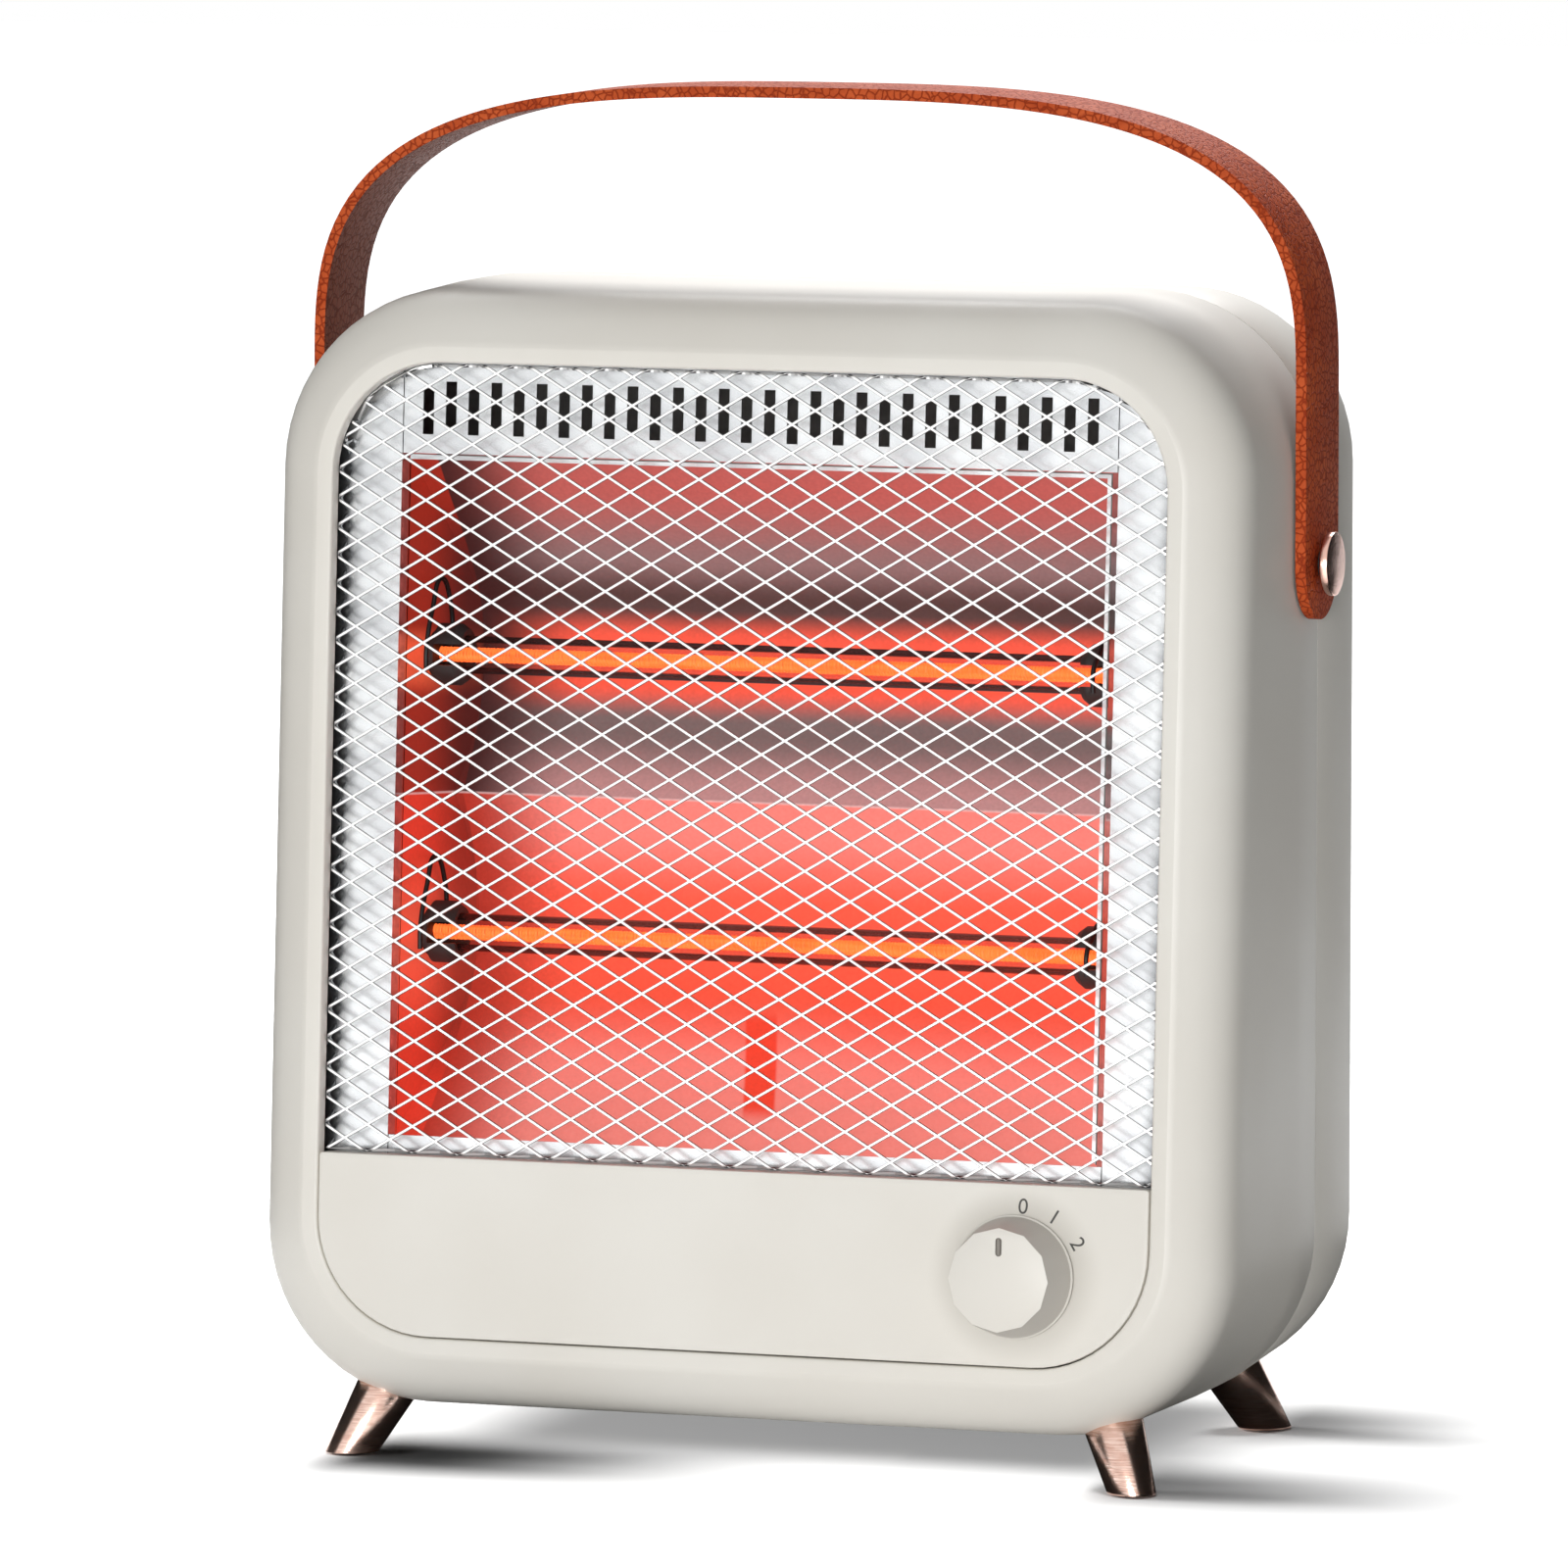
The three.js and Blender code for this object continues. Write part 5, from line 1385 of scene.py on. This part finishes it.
def casingSkin():
    # the casing's outside as one solid, to seat the legs against
    piece = blank("casingSkin")
    rings = bevelRings(steps=6) + [casingRing(1, 0, casing["seam"])] + rearRings(0, casing["back"])
    joinRings(rings)
    settle()
    return piece


def footLeg(name, sideX, y, sideY, skin):
    up = Vector((-sideX * leg["splay"], -sideY * leg["splay"], 1)).normalized()
    long = leg["rise"] / up.z
    widen = (leg["top"] - leg["foot"]) / long
    below = leg["below"]
    profile = [(0, -below), (leg["foot"] - below * widen, -below), (leg["top"], long), (0, long)]
    piece = turned(f"leg{name}", profile, 64)
    x = sideX * leg["x"]
    foot = (x, y, 0)
    turnTo(piece, up, foot)
    # flat at the bottom, hollowed for the pad, and cut where it meets the casing
    carve(piece, block((60, 60, 40), (x, y, leg["lift"] - 20)))
    carve(piece, rod(pad["radius"] + pad["gap"], 8, (x, y, pad["thick"] + pad["gap"] - 4)))
    carve(piece, copied(skin, "skinCutter"))
    work(piece, "BEVEL", width=leg["edge"], segments=2, limit_method="ANGLE", angle_limit=math.radians(40))
    start, pegLong = Vector(foot) + up * leg["pegFrom"], long - leg["pegFrom"]
    peg = rod(leg["peg"], pegLong)
    turnTo(peg, up, start + up * pegLong / 2)
    carve(piece, peg, "UNION")
    ready(piece, "casing", legMetal, [nodeName("leg" + name)])
    radius, edge, thick = pad["radius"], pad["edge"], pad["thick"]
    profile = [(0, 0), (radius - edge, 0), (radius, edge), (radius, thick), (0, thick)]
    rubber = turned(f"pad{name}", profile, 40)
    turnTo(rubber, (0, 0, 1), foot)
    ready(rubber, "casing", blackRubber, [nodeName("footPad" + name)])


skin = casingSkin()
for nameY, y, sideY in (("Front", leg["yFront"], -1), ("Rear", leg["yBack"], 1)):
    for nameX, sideX in leftAndRight:
        footLeg(nameY + nameX, sideX, y, sideY, skin)
bpy.data.objects.remove(skin)
print("legs modelled")

# cable gland and casing screws


def cableGland():
    lip, bore = gland["thick"] + 0.2, gland["bore"]
    body, flange, inside = gland["body"], gland["flange"], gland["inside"]
    profile = [(bore, -inside), (body, -inside), (body, 0.2), (flange, 0.2)]
    profile += [(flange, lip - 1), (flange - 0.3, lip - 0.3), (flange - 1, lip)]
    profile += [(bore + 1.2, lip), (bore + 0.4, lip - 0.3), (bore, lip - 1), (bore, -inside)]
    piece = turned("cableGland", profile, 56)
    turnTo(piece, (0, 1, 0), (gland["x"], casing["back"], gland["z"]))
    ready(piece, "casing", blackPlastic, ["cable_gland"])


def casingScrew():
    # modelled once: a pan head with a cross recess on a long shank
    head, thick, shank, long = rearScrew["head"], 2.5, rearScrew["shank"], rearScrew["long"]
    profile = [(0, -long), (shank - 0.4, -long), (shank, -long + 0.6), (shank, -thick), (head - 0.2, -thick)]
    profile += [(head, -thick + 0.2), (head, -thick * 0.55), (head * 0.9, -thick * 0.25)]
    profile += [(head * 0.65, -0.12), (0, 0)]
    piece = turned("casingScrewMaster", profile, 40)
    for wide, long in ((0.9, 3.8), (3.8, 0.9)):
        carve(piece, block((wide, long, 2.4), (0, 0, 0)))
    return piece


cableGland()
screw = casingScrew()
for nameZ, z in zip(("Lower", "Upper"), rearScrew["heights"]):
    for nameX, sideX in leftAndRight:
        name = f"casingScrew{nameZ}{nameX}"
        piece = copied(screw, name)
        turnTo(piece, (0, 1, 0), (sideX * rearScrew["across"], casing["back"] - 0.3, z))
        ready(piece, "casing", zincSteel, [nodeName(name)])
bpy.data.objects.remove(screw)
print("back fittings modelled")

# finishes for the CAD parts that stay
stayFinish = {
    "side_plate": faceSheet, "vent_plate": faceSheet, "bottom_plate": faceSheet,
    "plate_screw": zincSteel, "reflector_end": troughSheet, "stud_nut": zincSteel,
    "stud_spacer": blackRubber, "rotary_switch": blackPlastic, "switch_nut": zincSteel,
    "knob_shaft": zincSteel, "terminal_block": paleCeramic, "thermal_cutout": blackPlastic,
    "tip_micro_switch": blackPlastic, "tip_switch": zincSteel, "wire_to_cutout": blackPlastic,
    "wire_to": redInsulation,
}
for name in nodes:
    part = bpy.data.objects.get(name)
    for start, finish in stayFinish.items():
        if part and name.startswith(start):
            for place in part.material_slots:
                place.material = finish
            break
print("CAD parts finished")

# floor, world and lamps
backdrop = {
    "floor": (243, 243, 243), "size": 16, "low": 0.17, "bounce": 0.29,
    "glow": (0.0, 1.0), "glowFrom": (0.15, 0.42),
}


def seenRays(tree):
    # 1 for camera, glossy and transmission rays
    path = tree.nodes.new("ShaderNodeLightPath")
    total = path.outputs["Is Camera Ray"]
    for name in ("Is Glossy Ray", "Is Transmission Ray"):
        either = tree.nodes.new("ShaderNodeMath")
        either.operation = "MAXIMUM"
        tree.links.new(total, either.inputs[0])
        tree.links.new(path.outputs[name], either.inputs[1])
        total = either.outputs[0]
    return total


def paleFloor():
    settle()
    bpy.ops.mesh.primitive_plane_add(size=backdrop["size"])
    floor = bpy.context.object
    floor.name = "paleFloor"
    finish = Finish("paleFloor", roughness=0.9, specular=0.1)
    spot = finish.place((0.75, 1, 0), shift=(-0.02, -0.02, 0))
    far = finish.length(spot)
    glow = finish.range(far, *backdrop["glowFrom"], *backdrop["glow"])
    seen = Tap(finish, seenRays(finish.tree))
    finish.set(
        baseColor=finish.blend(seen, (*[backdrop["bounce"]] * 3, 1), rgb(*backdrop["floor"])),
        emissionColor=(1, 1, 1, 1),
        emissionStrength=glow * seen,
    )
    floor.data.materials.append(finish.material)
    return floor


def whiteWorld():
    world = bpy.data.worlds.new("whiteWorld")
    scene.world = world
    world.use_nodes = True
    tree = world.node_tree
    strength = tree.nodes.new("ShaderNodeMapRange")
    tree.links.new(seenRays(tree), strength.inputs[0])
    strength.inputs[3].default_value = backdrop["low"]
    strength.inputs[4].default_value = 1.0
    back = tree.nodes["Background"]
    tree.links.new(strength.outputs[0], back.inputs["Strength"])
    back.inputs["Color"].default_value = (1, 1, 1, 1)


def lamp(name, place, aim, size, watts, only=None, shadows=None):
    bpy.ops.object.light_add(type="AREA", location=place)
    light = bpy.context.object
    light.name = name
    light.rotation_euler = (Vector(aim) - Vector(place)).to_track_quat("-Z", "Y").to_euler()
    light.data.shape = "RECTANGLE"
    light.data.size, light.data.size_y = size
    light.data.energy = watts
    if only:
        light.light_linking.receiver_collection = only
    if shadows:
        light.light_linking.blocker_collection = shadows


# painted shadows: soft dark cards on the floor, put where shadow is wanted: x, y, half their length and depth,
# where the ends and the sides thin out, and the share of light they stop
paintedShadowCards = {
    "Middle": (0.01, 0.045, 0.14, 0.095, (-0.3, 0.25), 0.25, 0.72),
    "FrontLeft": (-0.05, -0.057, 0.085, 0.056, (-0.36, -0.28), 0.08, 0.96),
    "FrontRight": (0.1675, -0.04, 0.0725, 0.055, (-0.35, -0.34), 0.05, 0.83),
    "RearRight": (0.1525, 0.085, 0.0475, 0.055, (-0.3, -0.3), 0.05, 0.73),
}


def darkFlag(name, place, size, flat=False):
    # a black card beside the heater or on the floor, seen only in polished metal
    settle()
    bpy.ops.mesh.primitive_plane_add(size=1, location=place, rotation=(0, 0 if flat else quarter, 0))
    card = bpy.context.object
    card.name = name
    card.scale = (size[1], size[0], 1)
    black = Finish(name, baseColor=(0.045, 0.045, 0.045, 1), roughness=1.0, specular=0.0)
    card.data.materials.append(black.material)
    for ray in ("camera", "diffuse", "shadow", "transmission", "volume_scatter"):
        setattr(card, "visible_" + ray, False)
    return card


def paintedShadowCard(name, x, y, halfLong, halfDeep, ends, side, stopped):
    # dark card for painted shadows: it stands for the soft shadow streaks beside the legs; only the lamps over the
    # floor meet it
    card = darkFlag(name, (x, y, 0.0008), (2 * halfDeep, 2 * halfLong), flat=True)
    card.visible_glossy = False
    card.visible_shadow = True
    card.visible_diffuse = True
    finish = Finish(name + "Sheet", baseColor=(0.0, 0.0, 0.0, 1), roughness=1.0, specular=0.0)
    spot = finish.place()
    along = finish.part(spot, 0)
    across = finish.part(spot, 1)
    share = finish.range(along, -0.5, ends[0]) * finish.range(along, ends[1], 0.5, 1.0, 0.0)
    share = share * finish.range(finish.away(across, 0), side, 0.5, 1.0, 0.0)
    finish.set(alpha=stopped * share)
    card.data.materials.clear()
    card.data.materials.append(finish.material)
    return card


floor = paleFloor()
whiteWorld()
floorOnly = bpy.data.collections.new("floorOnly")
floorOnly.objects.link(floor)
heaterOnly = bpy.data.collections.new("heaterOnly")
feetOnly = bpy.data.collections.new("feetOnly")
for part in scene.objects:
    if part.type == "MESH" and part is not floor:
        heaterOnly.objects.link(part)
        if part.name.startswith(("leg", "pad")) and part.name[3:4].isupper():
            feetOnly.objects.link(part)
lamp("frontLamp", (0.75, -4.15, 0.35), (0, 0, 0.2), (1.4, 1.4), 141)
lamp("topLamp", (-0.5, 1.9, 2.3), (0, 0, 0.3), (1.5, 1.2), 78, heaterOnly)
lamp("floorLamp", (-0.2, 0.0, 2.6), (0, 0, 0), (0.7, 0.7), 45, floorOnly, feetOnly)
lamp("streakLamp", (-2.4, -0.05, 0.9), (0, 0, 0), (0.9, 0.8), 110, floorOnly, feetOnly)
darkFlag("flagRight", (0.45, 0.65, 0.46), (2.2, 0.9))
darkFlag("flagLeft", (-0.45, 0.25, 0.41), (1.3, 0.8))
darkFlag("flagUnder", (0.3, 0.155, 0.001), (0.49, 0.82), flat=True)
for name, values in paintedShadowCards.items():
    feetOnly.objects.link(paintedShadowCard(f"sheerCard{name}", *values))
print("stage ready")
